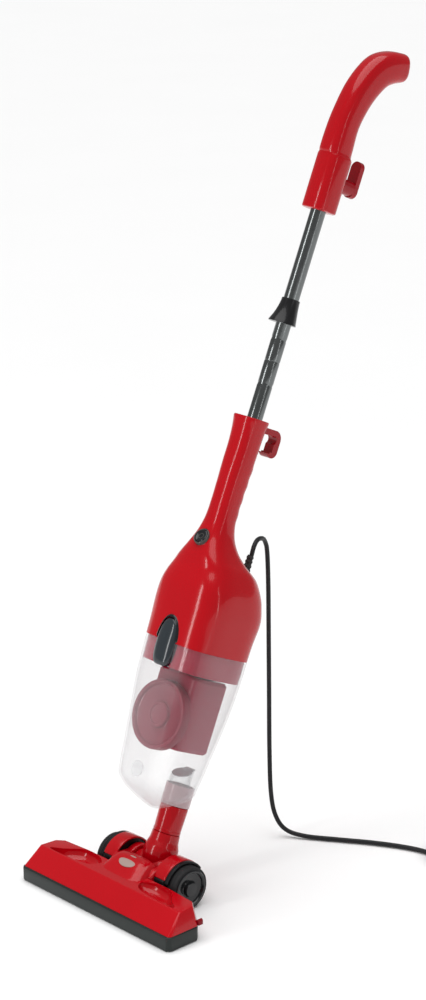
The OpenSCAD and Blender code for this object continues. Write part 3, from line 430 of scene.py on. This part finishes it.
foot = both_ways([[134.5, 0.8], [139, 5.5], [139, 48], [132, 56], [76, 61.6]])
waist = both_ways([[135, 3.3], [138.2, 7], [138.2, 49], [131, 56.4], [76, 61.8]])
crest = both_ways([[129.6, 26.8], [131, 28.4], [128.5, 50.5], [119, 58.5], [76, 61.8]])
at = lambda plan, z: np.c_[plan, np.full(len(plan), z)]
shell = stack("head_cover", [at(waist, bumper_h + 0.15), at(crest, head_h)], "head", red_gloss,
              1.3, 4)


rim = np.array([[38, 46], [50, 34], [84, 29.2], [116, 30.2], [101, 42], [84, 57], [70, 60.5], [54, 59],
                [42, 53]], float)


def bowl(side, depth=12.0, n=20):
    """Smooth hollow under a closed outline.

    Each ring is the outline drawn in to its middle as a root of the cosine, as it sinks by the sine.
    """
    outline = through(np.vstack([rim[-1], rim, rim[:2]]), 1.5)
    start = np.argmin(np.abs(outline - rim[0]).sum(1))
    stop = len(outline) - 1 - np.argmin(np.abs(outline[::-1] - rim[0]).sum(1))
    outline = outline[start:stop]
    t = np.linspace(0, 0.985, n)[:, None, None] * math.pi / 2
    plan = rim.mean(0) + (outline - rim.mean(0)) * np.cos(t) ** 0.55
    deep = np.broadcast_to(head_h + 0.3 - depth * np.sin(t) ** 1.1, plan.shape[:2] + (1,))
    grid = np.concatenate([plan, deep], -1)
    lid = grid[:1] + [0, 0, 8]
    grid = np.concatenate([lid, grid]) * [side, 1, 1]
    return skin("bowl", grid * MM, None, red_gloss)


carve(shell, bowl(1), bowl(-1), sharp=28)
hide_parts("head_shell")

strip = stack("bumper_strip",
              [at(foot * [0.995, 1] + [0, 0.6], 0.05), at(foot, 3), at(foot, 12), at(foot, bumper_h)],
              "head",
              charcoal, 1.1, 3)
inner = stack("hollow", [at(foot * [0.966, 0.86] + [0, 4], -2),
                         at(foot * [0.966, 0.86] + [0, 4], bumper_h - 2)], None, charcoal)
carve(strip, inner)
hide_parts("bumper")

# Small release nub on each end of the head, at its back.
red_base = moulded("red_base", (0.2, 0.001, 0.006), (0.25, 0.002, 0.009), 0.3)
for side, word in ((1, "right"), (-1, "left")):
    plan = np.array([[134, 50], [138.8, 51], [138.8, 58], [134, 60]]) * [side, 1]
    stack("end_nub_" + word, [at(plan, 18.8), at(plan, 25.5)], "head", red_base, 0.8)

# Tongue that climbs from the head's front to the neck: across it the height falls off as a power of
# the distance from the middle, and along it the crown rises in an ease curve.
y = np.linspace(33.5, 78.6, 60)[:, None]
u = np.linspace(-1, 1, 61)[None, :]
crown = head_h - 3 + 18.0 * smooth((y - 30) / 40) - 1.8 * smooth((y - 73) / 5.6)
half = 24 + 12.5 * smooth((y - 33.5) / 14)
x = half * u
z = crown - (crown - 38.5) * (0.10 * u**2 + 0.90 * np.abs(u) ** 7)
top = np.stack([x, y + 0 * u, z], -1)
skin("tongue", np.concatenate([top, np.stack([x, y + 0 * u, 0 * x + 38.2], -1)[:, ::-1]], 1) * MM,
              "head", red_gloss, 30)

# ---------------------------------------------------------------- yoke and wheel guards
# Red moulding behind the head. Two rounded cheeks hold the neck's trunnions, a bridge joins them
# to the tongue, and an arch on each side covers the inner half of a wheel.

neck_y, neck_z, wheel_y, wheel_r = 105.0, 28.0, 98.0, 28.0


def slab(name, outline, x0, x1, body, stuff, bevel, draft=0.0):
    """Solid between x0 and x1 with a (y, z) outline and rounded edges; draft shrinks the far side."""
    outline = np.asarray(outline, float)
    far_side = outline + (outline.mean(0) - outline) * draft
    rings = [np.c_[np.full(len(outline), x), o] for x, o in ((x0, outline), (x1, far_side))]
    return stack(name, rings, body, stuff, bevel, 4)


def arc(y, z, r, a0, a1, n=24):
    """Points of an arc in (y, z), angles in degrees from the back, counter-clockwise."""
    a = np.radians(np.linspace(a0, a1, n))
    return np.c_[y + r * np.cos(a), z + r * np.sin(a)]


# Black for each arch's black lip, and for the wall inside each arch, which is painted shade.
black_lip_and_shade_wall = moulded("black_lip_and_shade_wall", (0.006, 0.006, 0.007), (0.011, 0.011, 0.012), 0.35)
for side, word in ((1, "right"), (-1, "left")):
    cheek = np.concatenate([[[62.5, 8], [62.5, 43.6], [72, 50]], arc(neck_y, neck_z, 23.5, 122, -70, 30)])
    slab("cheek_" + word, cheek, side * 26.7, side * 38.6, "head", red_gloss, 2.4)
    arch = np.concatenate([arc(wheel_y, wheel_r, 33, 152, 22, 30),
                           arc(wheel_y, wheel_r, 30.4, 22, 152, 30)])
    slab("wheel_guard_" + word, arch, side * 36, side * 57, "head", red_gloss, 1.2)
    lip = np.concatenate([arc(wheel_y, wheel_r, 32.4, 158, 30, 30),
                          arc(wheel_y, wheel_r, 29.6, 30, 158, 30)])
    slab("guard_lip_" + word, lip, side * 57.2, side * 63, "head", black_lip_and_shade_wall, 0.8)
    # Black wall filling each arch's inside down towards the floor, in front of and behind the wheel:
    # painted shade, a dark sheet put where the arch's inside and the wheel's front lie in shadow.
    web = np.concatenate([[[70, 12], [66, 26], [68, 42]], arc(wheel_y, wheel_r, 31, 148, 24, 24),
                          [[124, 30], [112, 14]]])
    slab("guard_wall_" + word, web, side * 38.7, side * 56, "head", black_lip_and_shade_wall, 1.0)
yoke = slab("yoke_bridge",
            np.concatenate([[[63, 9], [63, 36], [80, 36]], arc(neck_y, neck_z, 22.4, 162, 212, 14)]), -27,
            27,
            "head", red_gloss, 1.2)
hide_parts("yoke")
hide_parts("fender_left")
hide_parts("fender_right")

# Plain oval pad in the middle of the tongue.
a, b = np.meshgrid(np.linspace(0, math.pi / 2, 10), np.arange(64) * math.pi / 32, indexing="ij")
pad = np.stack([15 * np.sin(a) * np.cos(b), 61 + 9.5 * np.sin(a) * np.sin(b),
                53.2 + 0.34 * 9.5 * np.sin(a) * np.sin(b) + 1.6 * np.cos(a) ** 0.5], -1)
grey_pad = moulded("grey_pad", (0.34, 0.25, 0.22), (0.42, 0.31, 0.28), 0.35)
skin("tongue_pad", pad[::-1] * MM, "head", grey_pad, shut=True)

# ---------------------------------------------------------------- wheels
# Hard rim with a soft tyre, turning on a steel axle: dished outside, with a raised hub.


def lathe(name, profile, frame_at, body, stuff, n=96, sharp=30.0, loop=False, flute=None):
    """Turned piece: profile rows are (radius, height) in mm; frame_at(a, b, h) places its points.

    flute, if given, scales the radius by its value at (angle, height).
    """
    profile = np.asarray(profile, float)
    turn = np.arange(n) * 2 * math.pi / n
    r = np.repeat(profile[:, :1], n, 1)
    h = np.repeat(profile[:, 1:2], n, 1)
    if flute:
        r = r * flute(turn[None, :], h)
    return skin(name, frame_at(r * np.cos(turn), r * np.sin(turn), h), body, stuff, sharp, loop=loop,
                shut=not loop)


tread = moulded("tyre_rubber", (0.014, 0.014, 0.015), (0.024, 0.024, 0.025), 0.62, 0.00008, 1500.0)
gloss_black = moulded("gloss_black", (0.006, 0.0065, 0.0075), (0.012, 0.013, 0.015), 0.2, 0.00001, 900.0,
                      0.5)
for side, word in ((1, "right"), (-1, "left")):
    wheel_at = lambda a, b, h, s=side: np.stack([s * (58 + h), wheel_y + a, wheel_r + b * s], -1) * MM
    rim = [[4.05, 0], [24, 0], [24.4, 0.6], [24.4, 15.6], [23.6, 16.4], [21.6, 16.4], [20.6, 15.4],
           [19.8, 13.2],
           [11, 12.4], [10, 13], [9.4, 15.6], [8.6, 17.6], [3, 17.9], [0.1, 17.9], [0.1, 17.2],
           [4.05, 17.1]]
    rim = lathe("wheel_rim_" + word, rim, wheel_at, word + "_wheel", gloss_black, loop=True)
    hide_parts("wheel_" + word)
    tyre = [[24.5, 1], [26.4, 1], [27.6, 1.7], [28, 3], [28, 6], [27.6, 6.5], [28, 7], [28, 9.5],
            [27.6, 10], [28, 10.5],
            [28, 13], [27.4, 14.4], [26.2, 15], [24.5, 15]]
    tyre = lathe("wheel_tyre_" + word, tyre, wheel_at, word + "_wheel", tread, loop=True)
    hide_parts("tyre_" + word)

# ---------------------------------------------------------------- neck
# Red elbow with a round cross barrel in the yoke and a flared collar; the neck pipe turns in the
# collar and plugs into the bin's socket.


def upright(v, x0=0.0):
    """Carries a turned piece's points to the stick's frame, its axis along the stick at (x0, v)."""
    return lambda a, b, h: stick(x0 + a, v + b, h)


barrel = [[2, -26], [17.8, -26], [19.4, -25.4], [20, -24], [20, 24], [19.4, 25.4], [17.8, 26], [2, 26]]
barrel = lathe("barrel", barrel, lambda a, b, h: np.stack([h, neck_y + a, neck_z + b], -1) * MM, None,
               red_gloss)
h = np.linspace(0, 1, 40)
collar_r = np.interp(h, [0, 0.36, 0.5, 0.62, 0.78, 1], [19, 21.9, 22.3, 21.6, 18.9, 17.9])
collar = [[2, 1]] + np.c_[collar_r, 1 + 47 * h].tolist() + [[16.4, 48.4], [2, 48.4]]
elbow = lathe("elbow_cover", collar, upright(67), "elbow", red_gloss, sharp=40)
carve(elbow, barrel, how="UNION", sharp=40)
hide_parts("neck_elbow")
pipe = [[17.2, 48.9], [17.7, 49.3], [17.7, 52.2], [17.3, 52.7], [17.5, 56], [18.1, 82], [17.8, 83.6],
        [16, 84], [16, 98], [14, 98],
        [14, 24], [16, 24], [16, 48.9]]
pipe = lathe("neck_tube", pipe, upright(67), "neck", red_gloss, loop=True)
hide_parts("neck_pipe")

# ---------------------------------------------------------------- dust bin
# Clear polycarbonate cup with a domed floor, open at the top, with a notch for the latch and a
# socket for the neck at its back.


def clear_plastic(name, tone, face_on, edge_on, rough=0.06):
    """Clear moulding: nearly clear where it faces the eye and milky where it is seen along its wall."""
    stuff, shader, place = finish_of(name, Specular_IOR_Level=0.5, IOR=1.45)
    rim = place.add("ShaderNodeLayerWeight", None, {"Blend": 0.35}, 1)
    haze = noise(place, 9.0, 3.0)
    wire(shader, Base_Color=haze.tint(tone, tuple(min(1.0, 1.06 * k) for k in tone)),
         Roughness=rough + haze * 0.05,
         Alpha=(face_on + rim * (edge_on - face_on) + haze * 0.03).held(),
         Normal=bumped(noise(place, 60.0, 2.0), 0.00004))
    return stuff


clear = clear_plastic("clear", (0.66, 0.66, 0.68), 0.015, 0.34)
u = np.linspace(0, 1, 16)[1:]
grow = 1 - 0.98 * (1 - u) ** 2.1
mid, low_z = 23.25 + 7 * (1 - u), 111 - 36 * (1 - u)
dome = np.c_[low_z, mid - 42.75 * grow, mid + 42.75 * grow, 43 * grow, 2 + 1.8 * u]
cup_rows = [[111, -19.5, 66, 43, 3.8], [131, -21.5, 68.5, 45.2, 3.8], [154, -23.5, 70.5, 47.2, 3.8],
            [184, -26.5, 73.5, 50.2, 3.8],
            [211, -29.5, 75.5, 52.6, 3.8], [237, -32, 76.5, 54.4, 3.8], [264, -33.5, 77, 55.2, 3.8],
            [284, -34.7, 76.6, 55.2, 3.8]]
cup_rows = np.vstack([dome[:-1], through(np.array(cup_rows, float), 6.0)])


def lofted(rows, inset=0.0, n=160):
    """Rings through rows of height, front, rear, half width and squareness: each a superellipse in plan."""
    z, front, rear, half, p = (np.asarray(rows, float)[:, k:k + 1] for k in range(5))
    a, b = superellipse(n, np.maximum(half - inset, 0.3), np.maximum((rear - front) / 2 - inset, 0.3), p)
    return stick(a, (front + rear) / 2 + b, z + 0 * a)


lining = cup_rows.copy()
lining[:, 0] += 2.2 * (1 - smooth((cup_rows[:, 0] - 75) / 60))
cup = skin("dust_cup", np.concatenate([lofted(cup_rows), lofted(lining, 2.2)[::-1]]), "bin", clear,
           40)


def block(x, v, z):
    """Cutter between two corners in the stick's frame."""
    corners = np.array([[i, j, k] for i in x for j in v for k in z], float)
    faces = [[0, 1, 3, 2], [4, 6, 7, 5], [0, 4, 5, 1], [2, 3, 7, 6], [0, 2, 6, 4], [1, 5, 7, 3]]
    return mesh_piece("block", stick(*corners.T), faces, None, clear)


bore = lathe("bore", [[16.15, 60], [16.15, 112]], upright(67), None, clear)
carve(cup, block((-16.5, 16.5), (-60, -18), (251.5, 300)), bore, sharp=40)
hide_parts("dust_bin")
pink_clear = clear_plastic("pink_clear", (0.42, 0.02, 0.05), 0.72, 0.95)
lathe("neck_socket", [[16.15, 84.6], [18.6, 84.6], [18.6, 110.6], [16.15, 110.6]], upright(67), "bin",
      clear_plastic("milky", (0.66, 0.5, 0.52), 0.62, 0.9), loop=True)
lathe("dome_badge", [[0.2, 0.9], [9, 0.9], [10, 0.2], [10, -0.4]], lambda a, b,
      h: stick(a, -17.5 - h + 0 * b, 122 + b), "bin",
      clear_plastic("badge_clear", (0.85, 0.85, 0.86), 0.35, 0.7))

# ---------------------------------------------------------------- filter
# Square red cage with a round coarse screen on its front, both seen through the cup.

cage_red = moulded("cage_red", (0.26, 0.006, 0.03), (0.33, 0.012, 0.045), 0.3, 0.00002, 400.0, 0.3)
h = np.linspace(0, 1, 30)
edge = 2.6 * (np.clip(1 - h / 0.03, 0, 1) ** 2 + np.clip((h - 0.97) / 0.03, 0, 1) ** 2)
rows = np.c_[157 + 93 * h, 1 + edge, 62 - edge, 35 - edge, np.full(30, 9.0)]
cage = skin("filter_box", lofted(rows), "filter", cage_red, 40)
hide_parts("filter_cage", "filter_element")
screen_red = moulded("screen_red", (0.22, 0.03, 0.05), (0.3, 0.05, 0.075), 0.35, 0.0002, 260.0, 0.2)
screen = [[44, -0.8], [44, 10], [43.4, 11.6], [42, 12.4], [39.6, 12.4], [38.4, 11.2], [37.4, 8.8], [35, 8],
          [17.5, 6.8], [16.6, 7.4],
          [16.2, 10.4], [15, 11.6], [12.6, 11.9], [11.8, 10.6], [10.6, 10.2], [4, 10.8]]
screen = lathe("filter_screen", screen, lambda a, b, h: stick(a, -h, 193 + b), "filter",
               screen_red)
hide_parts("filter_disc")

# ---------------------------------------------------------------- motor body
# Red glossy moulding in two halves over the fan and motor. It narrows from the cup's plan through
# a round shoulder to the neck that takes the wand.

body_rows = [[284.2, -35, 76.5, 55.2, 3.8], [306, -36, 77, 55.8, 3.75], [334, -37.5, 78.5, 57.5, 3.68],
             [353, -38, 74, 56, 3.6],
             [367, -36.5, 69, 52.5, 3.5], [382, -33.5, 60.5, 46.5, 3.3], [390, -33, 51, 42.5, 3.15],
             [398, -32.5, 39, 36.5, 3.03],
             [410, -30, 26, 29, 2.9], [424, -26.5, 17.5, 22.5, 2.75], [438, -24, 13.5, 19, 2.62],
             [450, -23, 12.3, 17.5, 2.6],
             [470, -22.8, 12.2, 16.8, 2.63], [495, -23, 12.8, 17, 2.67], [515, -23.2, 13.2, 17.6, 2.7],
             [540, -22.7, 13.6, 18, 2.74],
             [560, -24, 14, 18.8, 2.78], [574, -25.8, 15.3, 20.5, 2.8]]
rows = through(np.array(body_rows, float), 3.0)
rows[:, 2] += 1.1 * np.sin(np.clip((rows[:, 0] - 446) / 76, 0, 1) * 4 * math.pi) ** 2
outside = lofted(rows)
brow = np.array([[575.6, -25.6, 15.1, 20.3, 2.8], [576.2, -24.6, 14.1, 19.3, 2.8]])
hole = np.array([[576.2, -10.6, 10.6, 10.6, 2.0], [575.4, -10.2, 10.2, 10.2, 2.0],
                 [508, -10.2, 10.2, 10.2, 2.0]])
shell = skin("body_cover", np.concatenate([outside, lofted(brow), lofted(hole)]), "motor_unit",
             red_gloss, 40)


def leaf(grow_by, v0, v1, z0=253.0, z1=313.0, bulge=0.0, n=44):
    """Oval pad cut off at its ends.

    Its half width falls as a root of the distance from the middle; its face is domed by bulge.
    """
    t = np.linspace(0, 1, n)[:, None]
    z = z0 + (z1 - z0) * t
    round_end = np.clip(1 - np.abs(2 * t - 1) ** 14, 0, 1) ** 0.5
    w = (16 + grow_by) * (1 - np.abs((z - 280) / (34.6 + grow_by)) ** 2.4) ** 0.5
    w = w * (0.75 + 0.25 * round_end)
    a, b = superellipse(72, w, (v1 - v0) / 2 * (0.6 + 0.4 * round_end), 3.0)
    dome = bulge * (1 - (a / 18) ** 2) * (1 - (2 * t - 1) ** 2)
    return stick(a, (v0 + v1) / 2 + b - dome * (b < 0), z + 0 * a)


slate = moulded("slate_gloss", (0.016, 0.022, 0.027), (0.026, 0.034, 0.04), 0.22, 0.00001, 900.0, 0.6)
frame_piece = skin("latch_frame", leaf(3.4, -38.4, -28, 284.6, 317.3), "motor_unit",
                   gloss_black)
pocket = lambda: skin("pocket", leaf(0.6, -46, -23.5, 252.0, 313.8), None, clear)
carve(frame_piece, pocket(), sharp=40)
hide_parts("latch_bezel")
latch = skin("latch_pad", leaf(0, -37.8, -26.8, bulge=2.4), "latch", slate, 50)
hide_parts("bin_latch")
vents = [block((-22, 22), (70, 90), (z, z + 3.4)) for z in range(296, 337, 8)]


def out_of_neck(a, b, h):
    """Carries a turned piece to the button's place, its axis square to the neck's front but tipped up."""
    tip = math.radians(65)
    return stick(a, -27 + b * math.cos(tip) - h * math.sin(tip),
                 418 + b * math.sin(tip) + h * math.cos(tip))


well = lathe("well", [[11.1, -9.5], [11.1, 12]], out_of_neck, None, clear)
carve(shell, pocket(), well, *vents, sharp=40)
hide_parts("body_front", "body_rear")

# Button with a dished top and a plain ring mark, in a light bezel.
bezel = [[9.15, -9], [11, -9], [11, 2.2], [10.6, 3.4], [10, 3.8], [9.6, 3.7], [9.15, 3.0]]
bezel_grey = moulded("light_grey", (0.05, 0.048, 0.045), (0.08, 0.075, 0.07), 0.3, 0.00001, 900.0, 0.3)
bezel = lathe("button_ring", bezel, out_of_neck, "motor_unit", bezel_grey, loop=True)
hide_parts("button_bezel")
button = [[8.9, -8], [8.9, 2.3], [8.4, 3.2], [7.4, 3.6], [5.5, 3.1], [0.5, 2.7]]
button = lathe("button_cap", button, out_of_neck, "button", gloss_black)
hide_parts("power_button")
mark = [[3.9, 2.7], [3.9, 3.2], [3.1, 3.15], [3.1, 2.65]]
lathe("button_mark", mark, out_of_neck, "button", bezel_grey, loop=True)

# Rubber strain relief: a tapering sleeve with ribs, where the cord leaves the shoulder.
relief = np.linspace(353, 412, 90)
ribs = 6.5 - 2.4 * (relief - 353) / 59 + 0.35 * np.sign(np.sin((relief - 353) * 1.15)) * (relief > 366)
relief = lathe("strain_sleeve", np.c_[ribs, relief], upright(66), "motor_unit",
               bpy.data.materials["rubber_black"])
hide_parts("strain_relief")

# ---------------------------------------------------------------- wand
# Two plated steel tubes joined by an inner sleeve, with a pressed bead each side of the joint, and
# a black sliding clip for the cord.

satin_chrome, shader, place = finish_of("satin_chrome", Metallic=1.0, Specular_IOR_Level=0.5)
along = place.add("ShaderNodeMapping", {"vector_type": "POINT"},
                  {"Vector": place, "Scale": (220.0, 220.0, 8.0),
                                                                  "Rotation": (LEAN, 0.0, 0.0)})
brushed = noise(along, 1.0, 3.0)
wire(shader, Base_Color=brushed.tint((0.14, 0.15, 0.15), (0.2, 0.21, 0.21)),
     Roughness=0.16 + brushed * 0.08)
low = [[8.8, 504], [9.6, 504], [9.8, 504.8], [9.8, 618], [9.4, 619.2], [9.4, 621.5], [9.8, 622.6],
       [9.8, 648.8], [9.5, 649.8], [8.8, 649.8]]
high = [[8.8, 650.2], [9.5, 650.2], [9.8, 651.2], [9.8, 676], [9.4, 677.2], [9.4, 679.5], [9.8, 680.6],
        [9.8, 900], [8.8, 900]]
tube = lathe("wand_low_tube", low, upright(0), "wand", satin_chrome, loop=True)
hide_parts("wand_lower")
tube = lathe("wand_high_tube", high, upright(0), "wand", satin_chrome, loop=True)
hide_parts("wand_upper")

black_abs = moulded("clip_black", (0.008, 0.008, 0.009), (0.014, 0.014, 0.015), 0.3, 0.00002, 800.0, 0.3)
h = np.linspace(0, 1, 26)
bell = np.c_[11.6 + 6.2 * (1 - h) ** 1.6, 698.4 + 31.2 * h]
bell = [[9.95, 698.4], [bell[0, 0] - 0.8, 698.2]] + bell.tolist() + [[11, 730], [9.95, 730]]
clip = lathe("clip_bell", bell, lambda a, b,
             h: stick(a, b - 3.6 * np.clip((730 - h) / 32, 0, 1) * np.clip((np.hypot(a, b) - 10) / 7, 0, 1),
                      h),
             "clip", black_abs, loop=True)
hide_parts("tube_clip")

# ---------------------------------------------------------------- handle
# Red grip in two halves: a socket over the wand, a step, and a grip that curves back to a blunt nose.

grip_rows = [[919, -1.6, 0, 17.6, 19.6], [930, -2, 0, 17.5, 19.5], [952, -2, 4, 17, 18.6],
             [972, 1, 12, 17, 18.8], [996, 7.5, 23, 17.2, 20.2],
             [1017, 17.5, 36, 17.5, 21.2], [1033, 29.5, 49, 18, 21.4], [1043, 46, 62, 18, 20.4],
             [1048, 63, 78, 17, 18.4]]
rows = through(np.array(grip_rows, float), 4.0)
u = np.array([0.25, 0.45, 0.62, 0.76, 0.87, 0.95, 0.99])[:, None]
last = rows[-1]
lean = math.radians(last[2])
taper = np.sqrt(1 - u**2)
nose = np.hstack([last[0] + 9.4 * u * math.cos(lean), last[1] + 9.4 * u * math.sin(lean), 78 + 0 * u,
                  last[3] * taper, last[4] * taper])
socket = np.array([[844.2, 0, 0, 18.2, 18.4], [844.8, 0, 0, 19.2, 19.4], [846.4, 0, 0, 19.6, 19.8],
                   [880, 0, 0, 19.6, 19.8],
                   [912.6, 0, 0, 19.6, 19.8], [914.4, -0.2, 0, 19.1, 19.4], [915.2, -0.4, 0, 18.2, 19.2],
                   [916, -0.8, 0, 17.7, 19.3]])
rows = np.vstack([socket, rows, nose])
z, v, turn, a, b = (rows[:, k:k + 1] for k in range(5))
across, deep = superellipse(120, a, b, 2.8)
turn = np.radians(turn)
grip = skin("grip_shell", stick(across, v + deep * np.cos(turn), z - deep * np.sin(turn)), "wand",
            red_gloss, 40)
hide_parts("handle_left", "handle_right")

# ---------------------------------------------------------------- small and inner parts
# Parts whose shape needs nothing more: each keeps its own surface and takes its real finish, but the cord
# hooks take a darker red that is painted shade.


def metal(name, low, high, rough, scale):
    """Bare metal with fine uneven scratches."""
    stuff, shader, place = finish_of(name, Metallic=1.0)
    grain = noise(place, scale, 4.0)
    wire(shader, Base_Color=grain.tint(low, high), Roughness=rough + grain * 0.15,
         Normal=bumped(grain, 0.000008))
    return stuff


def woven(name, low, high, pitch, depth):
    """Pile or folded sheet: crossed waves of a pitch in metres, over a soft cloud."""
    stuff, shader, place = finish_of(name, Specular_IOR_Level=0.2)
    split = place.add("ShaderNodeSeparateXYZ", None, {"Vector": place})
    wave = (split * (2 * math.pi / pitch)).waved() * 0.5 + 0.5
    cloud = noise(place, 300.0, 4.0) * 0.5 + wave * 0.5
    wire(shader, Base_Color=cloud.tint(low, high), Roughness=0.8 + cloud * 0.15,
         Normal=bumped(cloud, depth))
    return stuff


zinc = metal("zinc_steel", (0.42, 0.42, 0.43), (0.56, 0.56, 0.57), 0.3, 500.0)
winding = metal("winding_copper", (0.45, 0.17, 0.07), (0.62, 0.27, 0.12), 0.35, 900.0)
pin_brass = metal("pin_brass", (0.52, 0.40, 0.17), (0.62, 0.5, 0.24), 0.25, 500.0)
satin_grey = moulded("satin_grey", (0.2, 0.2, 0.21), (0.26, 0.26, 0.27), 0.4)
soft_black = bpy.data.materials["rubber_black"]
soft_clear = moulded("soft_grey", (0.5, 0.5, 0.51), (0.58, 0.58, 0.59), 0.5)
pile = woven("lint_pile", (0.25, 0.01, 0.015), (0.42, 0.02, 0.03), 0.0016, 0.0004)
# Darker copy of the red gloss for the two cord hooks: painted shade, standing in for the shadow they lie
# in.
hooks_shade_red = moulded("hook_shade_red", (0.3, 0.0006, 0.006), (0.36, 0.001, 0.009), 0.28, 0.00001, 600.0, 0.3)
finishes = {
    charcoal: ["sole_plate", "throat", "wand_guide"],
    zinc: ["sole_screws", "axle_left", "axle_right", "rotor", "motor_can", "latch_spring",
           "hook_pivot", "handle_screws"],
    winding: ["motor_field"], pin_brass: ["plug_pins"], satin_grey: ["fan_housing", "power_switch"],
    soft_black: ["motor_mount", "filter_seal"], soft_clear: ["inlet_flap"],
    pile: ["lint_strip_front", "lint_strip_rear"],
    red_base: ["intake_guard"], pink_clear: ["body_base"], clear: ["inlet_duct"],
    satin_chrome: ["wand_joiner"],
    hooks_shade_red: ["lower_hook", "upper_hook"],
}
for stuff, nodes in finishes.items():
    for node in nodes:
        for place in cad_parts[node].material_slots:
            place.material = stuff
